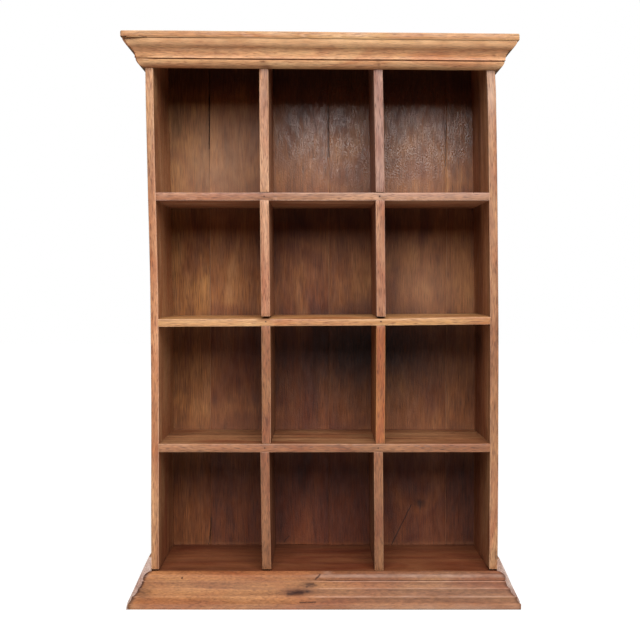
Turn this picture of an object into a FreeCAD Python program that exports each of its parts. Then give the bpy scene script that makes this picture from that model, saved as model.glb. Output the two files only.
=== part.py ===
import FreeCAD, Part
import math
import os
import re
import Sketcher

# Pigeonhole shelf: three columns by four rows of open compartments in a nailed hardwood
# carcass, on a skirted plinth and under an ogee cornice.
# Frame: +Z up, front towards -Y, +X to the viewer's right, origin on the floor under the
# middle of the overall box. Millimetres.

SIZES = {
    # carcass
    "carcass_width": 612,
    "carcass_depth": 222,
    "side_thick": 15,
    "shelf_thick": 15,
    "divider_thick": 16,
    "bottom_thick": 18,
    "top_thick": 12,
    "overhang": 37,
    # clear heights of the rows, the top one up to the top board behind the cornice
    "bottom_row_height": 211,
    "third_row_height": 208.5,
    "second_row_height": 205,
    "top_row_height": 259.5,
    # dividers: distance between their middles, then how far each one's head and foot
    # stand to the right of that line
    "column_pitch": 200,
    "left_top_head": 0.6,
    "left_top_foot": -2.3,
    "left_second_head": -2.9,
    "left_second_foot": -3.3,
    "left_third_head": -3,
    "left_third_foot": -2.9,
    "left_bottom_head": -5.9,
    "left_bottom_foot": -1.8,
    "right_top_head": 1.4,
    "right_top_foot": 0.2,
    "right_second_head": -0.2,
    "right_second_foot": -0.2,
    "right_third_head": -0.2,
    "right_third_foot": -1.8,
    "right_bottom_head": -5.3,
    "right_bottom_foot": -2.9,
    # stopped housings: depth for the uprights and for the shelf ends, where they stop
    # behind the front edge, slack across the groove and at the end of the tongue
    "housing_depth": 4,
    "side_housing": 5,
    "housing_stop": 14,
    "housing_slack": 0.1,
    "tongue_slack": 0.3,
    # gap left under the front of a foot that was notched a little high
    "foot_gap": 1.5,
    # back boards: rebate in the sides, lap from board to board, open seam, widths of the
    # two outer boards and how far right of the middle the other two meet
    "back_thick": 12,
    "rebate_width": 8,
    "rebate_slack": 0.5,
    "seam_lap": 7,
    "seam_gap": 1,
    "back_left_width": 82,
    "back_right_width": 64,
    "back_middle_offset": 7,
    # cornice: height and projection, and the radii of its curves
    "cornice_height": 45,
    "cornice_out": 34.5,
    "cornice_bead_radius": 16,
    "cornice_hollow_radius": 17,
    "cornice_round_radius": 20,
    # front skirting: height, and the radii of its curves
    "skirting_height": 59,
    "skirting_bead_radius": 11,
    "skirting_hollow_radius": 12,
    "skirting_sweep_radius": 10,
    # side skirtings: raked boards, thin at the top
    "rake_height": 86,
    "rake_foot_height": 16,
    "rake_foot_out": 35,
    "rake_top_out": 2.5,
    # plinth frame and the easing of the top board's edges
    "plinth_thick": 18,
    "top_easing": 2.5,
    # tapered square nails
    "nail_head": 3,
    "nail_point": 1.2,
    "nail_length": 40,
    "brad_length": 22,
    "pin_length": 20,
    "skirting_nail_middle": 85,
    "skirting_nail_end": 250,
}

# Corners of the two mouldings, as shares of a moulding's height and projection.
SHARES = {
    # cornice, from its narrow lower edge upwards
    "cornice_lip_out_share": 0.04,
    "cornice_bead_out_share": 0.36,
    "cornice_bead_rise_share": 0.29,
    "cornice_quirk_out_share": 0.32,
    "cornice_quirk_rise_share": 0.305,
    "cornice_hollow_out_share": 0.42,
    "cornice_hollow_rise_share": 0.335,
    "cornice_turn_out_share": 0.67,
    "cornice_turn_rise_share": 0.69,
    # front skirting, from its narrow upper edge downwards
    "skirting_lip_out_share": 0.03,
    "skirting_bead_out_share": 0.345,
    "skirting_bead_drop_share": 0.195,
    "skirting_quirk_out_share": 0.31,
    "skirting_quirk_drop_share": 0.215,
    "skirting_hollow_out_share": 0.365,
    "skirting_hollow_drop_share": 0.238,
    "skirting_ridge_out_share": 0.54,
    "skirting_ridge_drop_share": 0.44,
    "skirting_cove_out_share": 0.557,
    "skirting_cove_drop_share": 0.458,
    "skirting_ledge_out_share": 0.81,
    "skirting_ledge_drop_share": 0.636,
    "skirting_sweep_out_share": 0.832,
    "skirting_sweep_drop_share": 0.656,
    "skirting_foot_out_share": 0.978,
    "skirting_foot_drop_share": 0.814,
    "skirting_toe_drop_share": 0.834,
}

# Places and widths that follow from the sizes.
FRONT = "((overhang - carcass_depth) / 2)"
BACK = "((overhang + carcass_depth) / 2)"
NOSE = f"({FRONT} - overhang)"
INSIDE_BACK = f"({BACK} - back_thick)"
STOP = f"({FRONT} + housing_stop)"
HALF = "(carcass_width / 2)"
INNER = "(carcass_width / 2 - side_thick)"
FLOOR = "skirting_height"
PLINTH_TOP = "(skirting_height - bottom_thick)"
BACK_END = f"({INNER} + rebate_width)"
SEAM_LEFT = f"(back_left_width - {BACK_END})"
SEAM_MIDDLE = "back_middle_offset"
SEAM_RIGHT = f"({BACK_END} - back_right_width)"
LOWER = f"({FLOOR} + bottom_row_height)"
MIDDLE = f"({LOWER} + shelf_thick + third_row_height)"
UPPER = f"({MIDDLE} + shelf_thick + second_row_height)"
CEILING = f"({UPPER} + shelf_thick + top_row_height)"

doc = FreeCAD.newDocument("PigeonholeShelf")
sheet = doc.addObject("Spreadsheet::Sheet", "Sizes")
NAMED = SIZES | SHARES
for row, (alias, number) in enumerate(NAMED.items(), start=1):
    sheet.set(f"A{row}", alias)
    sheet.set(f"B{row}", str(number))
    sheet.setAlias(f"B{row}", alias)
doc.recompute()

pieces = {}


def bound(text):
    """Write a formula so that each size named in it is read from its cell."""
    return re.sub(r"[a-z][a-z_]+", lambda m: f"Sizes.{m[0]}" if m[0] in NAMED else m[0], text)


def value(text):
    """Work a formula out with the sizes now in the sheet."""
    return float(sheet.evalExpression(bound(text)))


def place(obj, x="0", y="0", z="0"):
    """Tie an object's position to the sizes."""
    for axis, text in zip("xyz", (x, y, z)):
        obj.setExpression(f"Placement.Base.{axis}", bound(text))


def sketch_on(body, role, name, offset="0"):
    """Open a sketch on one of a body's own planes, moved along the plane's normal."""
    sketch = body.newObject("Sketcher::SketchObject", name)
    plane = next(item for item in body.Origin.OriginFeatures if item.Role == role)
    sketch.AttachmentSupport = (plane, [""])
    sketch.MapMode = "FlatFace"
    sketch.setExpression("AttachmentOffset.Base.z", bound(offset))
    return sketch


def arc_through(start, end, radius, bulge):
    """Make the shorter arc between two points, bulging to the left (1) or right (-1)."""
    chord = end - start
    half = chord.Length / 2
    rise = radius - math.sqrt(radius * radius - half * half)
    left = FreeCAD.Vector(-chord.y, chord.x, 0).normalize()
    return Part.Arc(start, (start + end) / 2 + left * (rise * bulge), end)


def outline(sketch, corners):
    """Draw a closed loop and tie every corner to the sizes.

    A corner is (across, up), or (across, up, radius, bulge) if an arc leaves it.
    """
    points = [FreeCAD.Vector(value(c[0]), value(c[1]), 0) for c in corners]
    following = points[1:] + points[:1]
    edges = []
    for corner, start, end in zip(corners, points, following):
        if len(corner) == 4:
            curve = arc_through(start, end, value(corner[2]), corner[3])
        else:
            curve = Part.LineSegment(start, end)
        edges.append(sketch.addGeometry(curve))
    firsts = []
    for edge, start in zip(edges, points):
        begins = sketch.getPoint(edge, 1).distanceToPoint(start) < 1e-6
        firsts.append(1 if begins else 2)
    for index, edge in enumerate(edges):
        after = (index + 1) % len(edges)
        ends = [edge, 3 - firsts[index], edges[after], firsts[after]]
        sketch.addConstraint(Sketcher.Constraint("Coincident", *ends))
    for corner, point, edge, first in zip(corners, points, edges, firsts):
        for kind, text, number in (("DistanceX", corner[0], point.x), ("DistanceY", corner[1], point.y)):
            limit = sketch.addConstraint(Sketcher.Constraint(kind, -1, 1, edge, first, number))
            sketch.setExpression(f"Constraints[{limit}]", bound(text))
        if len(corner) == 4:
            limit = sketch.addConstraint(Sketcher.Constraint("Radius", edge, value(corner[2])))
            sketch.setExpression(f"Constraints[{limit}]", bound(corner[2]))


def rectangle(sketch, left, low, right, high):
    """Draw a rectangle between two opposite corners."""
    outline(sketch, [(left, low), (right, low), (right, high), (left, high)])


def pad(body, sketch, length, backwards=False):
    """Give a sketch its thickness."""
    feature = body.newObject("PartDesign::Pad", f"{sketch.Name}_pad")
    feature.Profile = sketch
    feature.setExpression("Length", bound(length))
    feature.Reversed = backwards
    doc.recompute()
    return feature


def pocket(body, sketch, depth, backwards=False):
    """Cut a sketch into a body, and make sure that it took wood away."""
    before = body.Shape.Volume
    feature = body.newObject("PartDesign::Pocket", f"{sketch.Name}_cut")
    feature.Profile = sketch
    feature.setExpression("Length", bound(depth))
    feature.Reversed = backwards
    doc.recompute()
    if body.Shape.Volume > before - 1e-3:
        raise RuntimeError(f"{sketch.Name} cuts nothing")
    return feature


def blank(name):
    """Start a wooden piece, before its nails go in."""
    body = doc.addObject("PartDesign::Body", f"{name}_blank")
    body.Label = f"{name}_blank"
    return body


def column(side):
    """Middle line of the left or right column of dividers."""
    return "(column_pitch / 2)" if side == "right" else "(0 - column_pitch / 2)"


def housings(sketch, middles, stop_back):
    """Draw stopped grooves for dividers whose ends stand at the given places."""
    half = "(divider_thick + housing_slack) / 2"
    for middle in middles:
        rectangle(sketch, f"{middle} - {half}", STOP, f"{middle} + {half}", stop_back)


def divider_ends(row, end):
    """Where the heads or feet of one row's two dividers stand."""
    return [f"({column(side)} + {side}_{row}_{end})" for side in ("left", "right")]


def make_side(side):
    """Upright side: tongues at both ends, three shelf housings, rebate for the back."""
    body = blank(f"{side}_side")
    shape = sketch_on(body, "YZ_Plane", f"{side}_side_outline")
    low = f"{FLOOR} - housing_depth"
    high = f"{CEILING} + housing_depth"
    notch = f"{FLOOR} + foot_gap"
    outline(shape, [(STOP, low), (BACK, low), (BACK, high), (STOP, high),
                    (STOP, CEILING), (FRONT, CEILING), (FRONT, notch), (STOP, notch)])
    pad(body, shape, "side_thick")
    inner_face = "side_thick" if side == "left" else "0"
    grooves = sketch_on(body, "YZ_Plane", f"{side}_side_housings", inner_face)
    for level in (LOWER, MIDDLE, UPPER):
        rectangle(grooves, STOP, level, INSIDE_BACK, f"{level} + shelf_thick + housing_slack")
    pocket(body, grooves, "side_housing", backwards=side == "right")
    rebate = sketch_on(body, "YZ_Plane", f"{side}_side_rebate", inner_face)
    rectangle(rebate, INSIDE_BACK, low, BACK, high)
    pocket(body, rebate, "rebate_width", backwards=side == "right")
    place(body, f"0 - {HALF}" if side == "left" else INNER)
    return body


def make_shelf(name, level, above, below):
    """Shelf: notched front corners, grooves for the dividers above and below it."""
    body = blank(name)
    tongue = f"({INNER} + side_housing - tongue_slack)"
    shape = sketch_on(body, "XY_Plane", f"{name}_outline")
    outline(shape, [(f"0 - {INNER}", FRONT), (INNER, FRONT), (INNER, STOP), (tongue, STOP),
                    (tongue, INSIDE_BACK), (f"0 - {tongue}", INSIDE_BACK),
                    (f"0 - {tongue}", STOP), (f"0 - {INNER}", STOP)])
    pad(body, shape, "shelf_thick")
    upper = sketch_on(body, "XY_Plane", f"{name}_upper_housings", "shelf_thick")
    housings(upper, divider_ends(above, "foot"), INSIDE_BACK)
    pocket(body, upper, "housing_depth")
    lower = sketch_on(body, "XY_Plane", f"{name}_lower_housings")
    housings(lower, divider_ends(below, "head"), INSIDE_BACK)
    pocket(body, lower, "housing_depth", backwards=True)
    place(body, z=level)
    return body


def upright_seats(sketch):
    """Draw the seats of the two sides in the top or bottom board."""
    inner = f"({INNER} - housing_slack)"
    rectangle(sketch, inner, STOP, HALF, BACK)
    rectangle(sketch, f"0 - {HALF}", STOP, f"0 - {inner}", BACK)


def make_bottom_board():
    """Board that the sides and the bottom row of dividers stand on."""
    body = blank("bottom_board")
    shape = sketch_on(body, "XY_Plane", "bottom_board_outline")
    rectangle(shape, f"0 - {HALF}", FRONT, HALF, BACK)
    pad(body, shape, "bottom_thick")
    seats = sketch_on(body, "XY_Plane", "bottom_board_seats", "bottom_thick")
    upright_seats(seats)
    housings(seats, divider_ends("bottom", "foot"), INSIDE_BACK)
    pocket(body, seats, "housing_depth")
    place(body, z=PLINTH_TOP)
    return body


def make_top_board():
    """Overhanging top whose eased square edge is the upper fillet of the cornice."""
    body = blank("top_board")
    wide = f"({HALF} + overhang)"
    shape = sketch_on(body, "XY_Plane", "top_board_outline")
    rectangle(shape, f"0 - {wide}", NOSE, wide, BACK)
    slab = pad(body, shape, "top_thick")
    rear = value(BACK)
    middle_height = value("top_thick / 2")
    edges = []
    for number, edge in enumerate(body.Shape.Edges, start=1):
        middle = edge.CenterOfMass
        at_rear = abs(middle.y - rear) < 0.01
        upright = abs(middle.z - middle_height) < 0.01
        if not at_rear and not upright:
            edges.append(f"Edge{number}")
    easing = body.newObject("PartDesign::Fillet", "top_board_easing")
    easing.Base = (slab, edges)
    easing.setExpression("Radius", bound("top_easing"))
    doc.recompute()
    seats = sketch_on(body, "XY_Plane", "top_board_seats")
    upright_seats(seats)
    housings(seats, divider_ends("top", "head"), INSIDE_BACK)
    pocket(body, seats, "housing_depth", backwards=True)
    place(body, z=CEILING)
    return body


def make_divider(side, row, level, gap):
    """Short divider: tongues stand square in the housings, the rest leans between them."""
    name = f"{side}_{row}_divider"
    body = blank(name)
    tall = f"{row}_row_height"
    head = f"{side}_{row}_head"
    foot = f"{side}_{row}_foot"
    half = "divider_thick / 2"
    drop = "0 - housing_depth"
    top = f"{tall} + housing_depth"
    shape = sketch_on(body, "XZ_Plane", f"{name}_outline", f"0 - {INSIDE_BACK}")
    outline(shape, [(f"{foot} - {half}", drop), (f"{foot} + {half}", drop),
                    (f"{foot} + {half}", "0"), (f"{head} + {half}", tall),
                    (f"{head} + {half}", top), (f"{head} - {half}", top),
                    (f"{head} - {half}", tall), (f"{foot} - {half}", "0")])
    pad(body, shape, "carcass_depth - back_thick")
    notches = sketch_on(body, "YZ_Plane", f"{name}_notches", "divider_thick * 2")
    rectangle(notches, FRONT, drop, STOP, gap)
    rectangle(notches, FRONT, tall, STOP, top)
    pocket(body, notches, "divider_thick * 4")
    place(body, column(side), z=level)
    return body


def make_back_board(name, left, right):
    """Vertical back board, rebated where it laps over its neighbours."""
    body = blank(name)
    half_way = f"({BACK} - back_thick / 2)"
    end = f"({BACK_END} - rebate_slack)"
    if left is None:
        left_side = [(f"0 - {end}", BACK), (f"0 - {end}", INSIDE_BACK)]
    else:
        rear = f"{left} + seam_lap + seam_gap"
        face = f"{left} + seam_gap / 2"
        left_side = [(rear, BACK), (rear, half_way), (face, half_way), (face, INSIDE_BACK)]
    if right is None:
        right_side = [(end, INSIDE_BACK), (end, BACK)]
    else:
        rear = f"{right} + seam_lap"
        face = f"{right} - seam_gap / 2"
        right_side = [(face, INSIDE_BACK), (face, half_way), (rear, half_way), (rear, BACK)]
    shape = sketch_on(body, "XY_Plane", f"{name}_outline")
    outline(shape, left_side + right_side)
    pad(body, shape, f"{CEILING} - {FLOOR}")
    place(body, z=FLOOR)
    return body


def cornice_profile(sketch, across, sense):
    """Bead, quirk, hollow and round of the cornice, from its lower edge to the top board.

    across turns a projection into a place; sense is the side that a bulge faces.
    """
    def corner(out, rise, *arc):
        return (across(f"cornice_out * {out}"), f"cornice_height * {rise}", *arc)

    outline(sketch, [
        corner("0", "0"),
        corner("cornice_lip_out_share", "0", "cornice_bead_radius", -sense),
        corner("cornice_bead_out_share", "cornice_bead_rise_share"),
        corner("cornice_quirk_out_share", "cornice_quirk_rise_share"),
        corner("cornice_hollow_out_share", "cornice_hollow_rise_share", "cornice_hollow_radius", sense),
        corner("cornice_turn_out_share", "cornice_turn_rise_share", "cornice_round_radius", -sense),
        corner("1", "1"),
        corner("0", "1"),
    ])


def mitre(body, name, sides, keep_front):
    """Cut mitres along lines that leave the carcass corners at 45 degrees in plan."""
    reach = "(overhang * 1.5)"
    cut = sketch_on(body, "XY_Plane", f"{name}_mitres", "0 - overhang")
    for sign in sides:
        near = f"{sign} * {HALF}"
        far = f"{sign} * ({HALF} + {reach})"
        corner = (far, FRONT) if keep_front else (near, f"{FRONT} - {reach}")
        outline(cut, [(near, FRONT), (far, f"{FRONT} - {reach}"), corner])
    pocket(body, cut, "rake_height + overhang * 2", backwards=True)


def make_cornice_front():
    """Moulding across the front, mitred at both ends."""
    body = blank("cornice_front")
    reach = f"({HALF} + overhang)"
    shape = sketch_on(body, "YZ_Plane", "cornice_front_profile", f"0 - {reach}")
    cornice_profile(shape, lambda out: f"{FRONT} - {out}", -1)
    pad(body, shape, f"2 * {reach}")
    mitre(body, "cornice_front", ("-1", "1"), keep_front=True)
    place(body, z=f"{CEILING} - cornice_height")
    return body


def make_cornice_return(side):
    """Return of the moulding along one side, back to the wall."""
    body = blank(f"cornice_{side}")
    sign = "1" if side == "right" else "-1"
    shape = sketch_on(body, "XZ_Plane", f"cornice_{side}_profile", f"0 - {BACK}")
    cornice_profile(shape, lambda out: f"{sign} * ({HALF} + {out})", int(sign))
    pad(body, shape, "carcass_depth + overhang")
    mitre(body, f"cornice_{side}", (sign,), keep_front=False)
    place(body, z=f"{CEILING} - cornice_height")
    return body


def make_front_skirting():
    """Moulded skirting: bead level with the bottom board, three hollows, plain foot."""
    body = blank("front_skirting")
    reach = f"({HALF} + overhang)"

    def corner(out, drop, *arc):
        return (f"{FRONT} - overhang * {out}", f"skirting_height * (1 - {drop})", *arc)

    shape = sketch_on(body, "YZ_Plane", "front_skirting_profile", f"0 - {reach}")
    outline(shape, [
        corner("0", "0"),
        corner("skirting_lip_out_share", "0", "skirting_bead_radius", -1),
        corner("skirting_bead_out_share", "skirting_bead_drop_share"),
        corner("skirting_quirk_out_share", "skirting_quirk_drop_share"),
        corner("skirting_hollow_out_share", "skirting_hollow_drop_share", "skirting_hollow_radius", 1),
        corner("skirting_ridge_out_share", "skirting_ridge_drop_share"),
        corner("skirting_cove_out_share", "skirting_cove_drop_share", "skirting_hollow_radius", 1),
        corner("skirting_ledge_out_share", "skirting_ledge_drop_share"),
        corner("skirting_sweep_out_share", "skirting_sweep_drop_share", "skirting_sweep_radius", 1),
        corner("skirting_foot_out_share", "skirting_foot_drop_share"),
        corner("1", "skirting_toe_drop_share"),
        corner("1", "1"),
        corner("0", "1"),
    ])
    pad(body, shape, f"2 * {reach}")
    mitre(body, "front_skirting", ("-1", "1"), keep_front=True)
    return body


def make_side_skirting(side):
    """Raked board along one side, mitred against the front skirting."""
    body = blank(f"{side}_skirting")
    sign = "1" if side == "right" else "-1"

    def corner(out, up):
        return (f"{sign} * ({HALF} + {out})", up)

    shape = sketch_on(body, "XZ_Plane", f"{side}_skirting_profile", f"0 - {BACK}")
    outline(shape, [corner("0", "0"), corner("overhang", "0"),
                    corner("rake_foot_out", "rake_foot_height"),
                    corner("rake_top_out", "rake_height"), corner("0", "rake_height")])
    pad(body, shape, "carcass_depth + overhang")
    mitre(body, f"{side}_skirting", (sign,), keep_front=False)
    return body


def make_rail(name, left, low, right, high):
    """Rail of the plinth frame under the bottom board."""
    body = blank(name)
    shape = sketch_on(body, "XY_Plane", f"{name}_outline")
    rectangle(shape, left, low, right, high)
    pad(body, shape, PLINTH_TOP)
    return body


# Turns that aim a nail, which points along +Y as made.
AIMS = {
    "+Y": (FreeCAD.Vector(0, 0, 1), 0),
    "-Y": (FreeCAD.Vector(0, 0, 1), 180),
    "+X": (FreeCAD.Vector(0, 0, 1), -90),
    "-X": (FreeCAD.Vector(0, 0, 1), 90),
    "+Z": (FreeCAD.Vector(1, 0, 0), 90),
    "-Z": (FreeCAD.Vector(1, 0, 0), -90),
}


def nail(name, aim, length, x, y, z):
    """Tapered square nail with its head at the given place."""
    wedge = doc.addObject("Part::Wedge", name)
    for axis in "XZ":
        wedge.setExpression(f"{axis}min", bound("0 - nail_head / 2"))
        wedge.setExpression(f"{axis}max", bound("nail_head / 2"))
        wedge.setExpression(f"{axis}2min", bound("0 - nail_point / 2"))
        wedge.setExpression(f"{axis}2max", bound("nail_point / 2"))
    wedge.setExpression("Ymin", "0")
    wedge.setExpression("Ymax", bound(length))
    wedge.Placement.Rotation = FreeCAD.Rotation(*AIMS[aim])
    place(wedge, x, y, z)
    return wedge


def nail_group(name, nails):
    """Gather nails of one kind into one group of separate solids."""
    group = doc.addObject("Part::Compound", name)
    group.Label = name
    group.Links = [nail(f"{name}_{number}", *rest) for number, rest in enumerate(nails, start=1)]
    pieces[name] = group
    return group


def along(share):
    """A place in the depth of the carcass, as a share from front to back."""
    return f"({FRONT} + carcass_depth * {share})"


def nailed(name, body, groups):
    """Finish a wooden piece: its nail holes are cut by the nails that go into it."""
    if not groups:
        body.Label = name
        pieces[name] = body
        return
    tool = groups[0]
    if len(groups) > 1:
        tool = doc.addObject("Part::Compound", f"{name}_nails")
        tool.Links = groups
    cut = doc.addObject("Part::Cut", name)
    cut.Label = name
    cut.Base = body
    cut.Tool = tool
    pieces[name] = cut


shelf_levels = {"lower": LOWER, "middle": MIDDLE, "upper": UPPER}
signs = {"left": "-1", "right": "1"}
inwards = {"left": "+X", "right": "-X"}
side_middle = "(carcass_width / 2 - side_thick / 2)"
top_heads = divider_ends("top", "head")
bottom_feet = divider_ends("bottom", "foot")

shelf_nails = nail_group("shelf_nails", [
    (inwards[side], "nail_length", f"{signs[side]} * {HALF}", along(share), f"{level} + shelf_thick / 2")
    for side in signs for level in shelf_levels.values() for share in (0.25, 0.7)])

top_nails = nail_group("top_nails", [
    ("-Z", "nail_length", x, along(share), f"{CEILING} + top_thick")
    for x, shares in ((f"0 - {side_middle}", (0.25, 0.75)), (side_middle, (0.25, 0.75)),
                      (top_heads[0], (0.5,)), (top_heads[1], (0.5,)))
    for share in shares])

bottom_nails = nail_group("bottom_nails", [
    ("+Z", "nail_length", x, along(share), PLINTH_TOP)
    for x, shares in ((f"0 - {side_middle}", (0.35, 0.65)), (side_middle, (0.35, 0.65)),
                      (bottom_feet[0], (0.5,)), (bottom_feet[1], (0.5,)))
    for share in shares])

bead_level = f"({CEILING} - cornice_height * (1 - cornice_bead_rise_share * 0.8))"
bead_face = "(cornice_out * cornice_bead_out_share)"
cornice_nails = nail_group("cornice_nails", [
    ("+Y", "nail_length", x, f"{FRONT} - {bead_face}", bead_level)
    for x in (f"0 - {side_middle}", *top_heads, side_middle)
] + [
    (inwards[side], "brad_length", f"{signs[side]} * ({HALF} + {bead_face})", along(share), bead_level)
    for side in signs for share in (0.3, 0.7)])

skirting_level = f"({FLOOR} - skirting_height * skirting_bead_drop_share * 0.8)"
rake_slope = "((rake_foot_out - rake_top_out) / (rake_height - rake_foot_height))"
rake_face = f"(rake_top_out + {rake_slope} * (rake_height - {skirting_level} + nail_head / 2))"
skirting_nails = nail_group("skirting_nails", [
    ("+Y", "nail_length", x, f"{FRONT} - overhang * skirting_bead_out_share", skirting_level)
    for x in ("0 - skirting_nail_end", "0 - skirting_nail_middle",
              "skirting_nail_middle", "skirting_nail_end")
] + [
    (inwards[side], "nail_length", f"{signs[side]} * ({HALF} + {rake_face})", along(share), skirting_level)
    for side in signs for share in (0.2, 0.8)])

back_edges = [f"(0 - {BACK_END})", SEAM_LEFT, SEAM_MIDDLE, SEAM_RIGHT, BACK_END]
back_middles = [f"({left} + {right}) / 2" for left, right in zip(back_edges, back_edges[1:])]
back_nails = nail_group("back_nails", [
    ("-Y", "nail_length", x, BACK, f"{level} + shelf_thick / 2")
    for x in back_middles for level in shelf_levels.values()])

crossing_pins = nail_group("crossing_pins", [
    ("+Y", "pin_length", x, FRONT, f"{level} + shelf_thick / 2")
    for row, level in (("second", UPPER), ("third", MIDDLE), ("bottom", LOWER))
    for x in divider_ends(row, "head")])

for side in signs:
    nailed(f"{side}_side", make_side(side), [shelf_nails, top_nails, bottom_nails, cornice_nails])
    nailed(f"cornice_{side}", make_cornice_return(side), [cornice_nails])
    nailed(f"{side}_skirting", make_side_skirting(side), [skirting_nails])
for name, level, above, below in (("lower", LOWER, "third", "bottom"), ("middle", MIDDLE, "second", "third"),
                                  ("upper", UPPER, "top", "second")):
    shelf = make_shelf(f"{name}_shelf", level, above, below)
    nailed(f"{name}_shelf", shelf, [shelf_nails, back_nails, crossing_pins])
nailed("bottom_board", make_bottom_board(), [bottom_nails, skirting_nails])
nailed("top_board", make_top_board(), [top_nails])
nailed("cornice_front", make_cornice_front(), [cornice_nails])
nailed("front_skirting", make_front_skirting(), [skirting_nails])

row_floors = {"bottom": FLOOR, "third": f"{LOWER} + shelf_thick", "second": f"{MIDDLE} + shelf_thick",
              "top": f"{UPPER} + shelf_thick"}
row_nails = {"bottom": [bottom_nails], "third": [], "second": [], "top": [top_nails, cornice_nails]}
high_notches = {("left", "bottom"), ("left", "second"), ("right", "second")}
for side in signs:
    for row, level in row_floors.items():
        gap = "foot_gap" if (side, row) in high_notches else "0"
        nailed(f"{side}_{row}_divider", make_divider(side, row, level, gap), row_nails[row])

seams = [None, SEAM_LEFT, SEAM_MIDDLE, SEAM_RIGHT, None]
for number in range(4):
    name = f"back_board_{number + 1}"
    nailed(name, make_back_board(name, seams[number], seams[number + 1]), [back_nails])

rear_rail = f"{BACK} - plinth_thick"
front_rail = f"{FRONT} + plinth_thick"
rail_end = f"({HALF} - plinth_thick)"
rails = {
    "front": (f"0 - {HALF}", FRONT, HALF, front_rail),
    "back": (f"0 - {HALF}", rear_rail, HALF, BACK),
    "left": (f"0 - {HALF}", front_rail, f"0 - {rail_end}", rear_rail),
    "right": (rail_end, front_rail, HALF, rear_rail),
}
for where, corners in rails.items():
    name = f"plinth_{where}_rail"
    nailed(name, make_rail(name, *corners), [])

doc.recompute()
for obj in doc.Objects:
    if "Invalid" in obj.State or "Error" in obj.State:
        raise RuntimeError(f"{obj.Label} failed: {obj.State}")
for name, obj in pieces.items():
    shape = obj.Shape
    if shape.isNull() or not shape.isValid() or not shape.Solids:
        raise RuntimeError(f"{name} has no sound solid")
os.makedirs("parts", exist_ok=True)
for name, obj in pieces.items():
    obj.Shape.exportStep(f"parts/{name}.step")
    print(f"{name}: {len(obj.Shape.Solids)} solids, {obj.Shape.Volume / 1000:.1f} cm3")
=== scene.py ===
"""Looks of the pigeonhole shelf: worn hardwood boards, mouldings, nails and a plain studio."""

import logging
import math
import random
from collections.abc import Sequence
from dataclasses import dataclass, field, replace
from enum import Enum
from itertools import count, product

import bpy
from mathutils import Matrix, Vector, noise


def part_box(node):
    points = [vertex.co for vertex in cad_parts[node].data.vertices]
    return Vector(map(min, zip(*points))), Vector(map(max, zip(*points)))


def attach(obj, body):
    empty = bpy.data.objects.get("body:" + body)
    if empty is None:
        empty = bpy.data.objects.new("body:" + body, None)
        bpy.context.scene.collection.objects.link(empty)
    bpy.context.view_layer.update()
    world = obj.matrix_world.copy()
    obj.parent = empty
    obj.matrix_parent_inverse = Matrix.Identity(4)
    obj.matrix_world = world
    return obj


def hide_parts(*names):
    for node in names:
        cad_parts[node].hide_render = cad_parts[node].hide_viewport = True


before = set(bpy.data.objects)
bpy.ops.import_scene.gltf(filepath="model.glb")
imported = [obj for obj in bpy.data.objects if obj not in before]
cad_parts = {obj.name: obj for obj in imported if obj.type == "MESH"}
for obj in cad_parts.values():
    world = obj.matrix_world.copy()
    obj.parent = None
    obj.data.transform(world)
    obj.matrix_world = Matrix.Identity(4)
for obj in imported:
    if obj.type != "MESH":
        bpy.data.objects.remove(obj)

Tree = bpy.types.NodeTree
Node = bpy.types.Node
Socket = bpy.types.NodeSocket
Pair = tuple[float, float]
Triple = tuple[float, float, float]

LOG = logging.getLogger("pigeonhole_shelf")
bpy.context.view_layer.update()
MM = 0.001
# Start of the pattern that hand planing strays by, the same each time the shelf is built.
PLANING_SEED = 11
# Range that most values of a noise pattern lie in.
MOST = (0.3, 0.7)
# What a piece's finish reads at each of its points: rubbed, dirty, darkened with age, still shiny; the first
# three also carry painted highlights and painted shade.
TRACES = ("wear", "stain", "patina", "gloss")
# How deep a mark on a moulding or on the back reaches into the wood, in millimetres.
FACE_REACH = 60
# Front face of the back boards.
BACK_FACE = 117.5
# Square of the distance, in reaches, at which a mark no longer shows.
FAINT = 12
# Shares of an arris's radius: where its round is cut once more, and what counts as off the flat.
ARRIS_CUT = 0.3
ARRIS_OFF = 0.01
# Length of the waves that hand planing leaves, in millimetres.
PLANING_WAVE = 150
# An arris: how far in it reaches, in millimetres, and how rubbed its points are at least.
ARRIS = 3
ARRIS_RUB = 0.5
# Dents along it: length in millimetres and level of the pattern that they start at, and how far they go in.
DENTS = ((21, 0.25), (90, 0.3))
DENT_SHARE = 0.7
# How differently a piece's seed moves the pattern from front to back.
SEED_SKEW = 0.7
# How far apart, in metres, the boards may lie in the wood that they were sawn from.
LOG_REACH = 9
# A face turns sharply from the next one beyond this angle.
CREASE = math.radians(38)
# How many stations a curve of a moulding gets.
CURVE_STEPS = 7
WHITE = "#ffffff"


class Grain(Enum):
    """Direction that the grain of a board runs in, as the order of its axes."""

    ACROSS = (0, 1, 2)
    DEEP = (1, 0, 2)
    UPRIGHT = (2, 0, 1)

    def along(self, point: Vector) -> Vector:
        """Return a point with its place along the grain first."""
        return Vector([point[axis] for axis in self.value])


class Slot(Enum):
    """Material slots of the record."""

    CARCASS = "carcass_wood"
    MOULDING = "moulding_wood"
    SKIRTING = "skirting_wood"
    BACK = "back_wood"
    PLINTH = "plinth_wood"
    NAIL = "nail_iron"


def linear(colour: str) -> tuple[float, ...]:
    """Turn an sRGB hex colour into linear light.

    Args:
        colour: Six hex digits after a hash.

    Returns:
        Red, green, blue and an alpha of 1.
    """
    parts = [int(colour[k:k + 2], 16) / 255 for k in (1, 3, 5)]
    lit = [c / 12.92 if c <= 0.04045 else ((c + 0.055) / 1.055) ** 2.4 for c in parts]
    return (*lit, 1.0)


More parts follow.
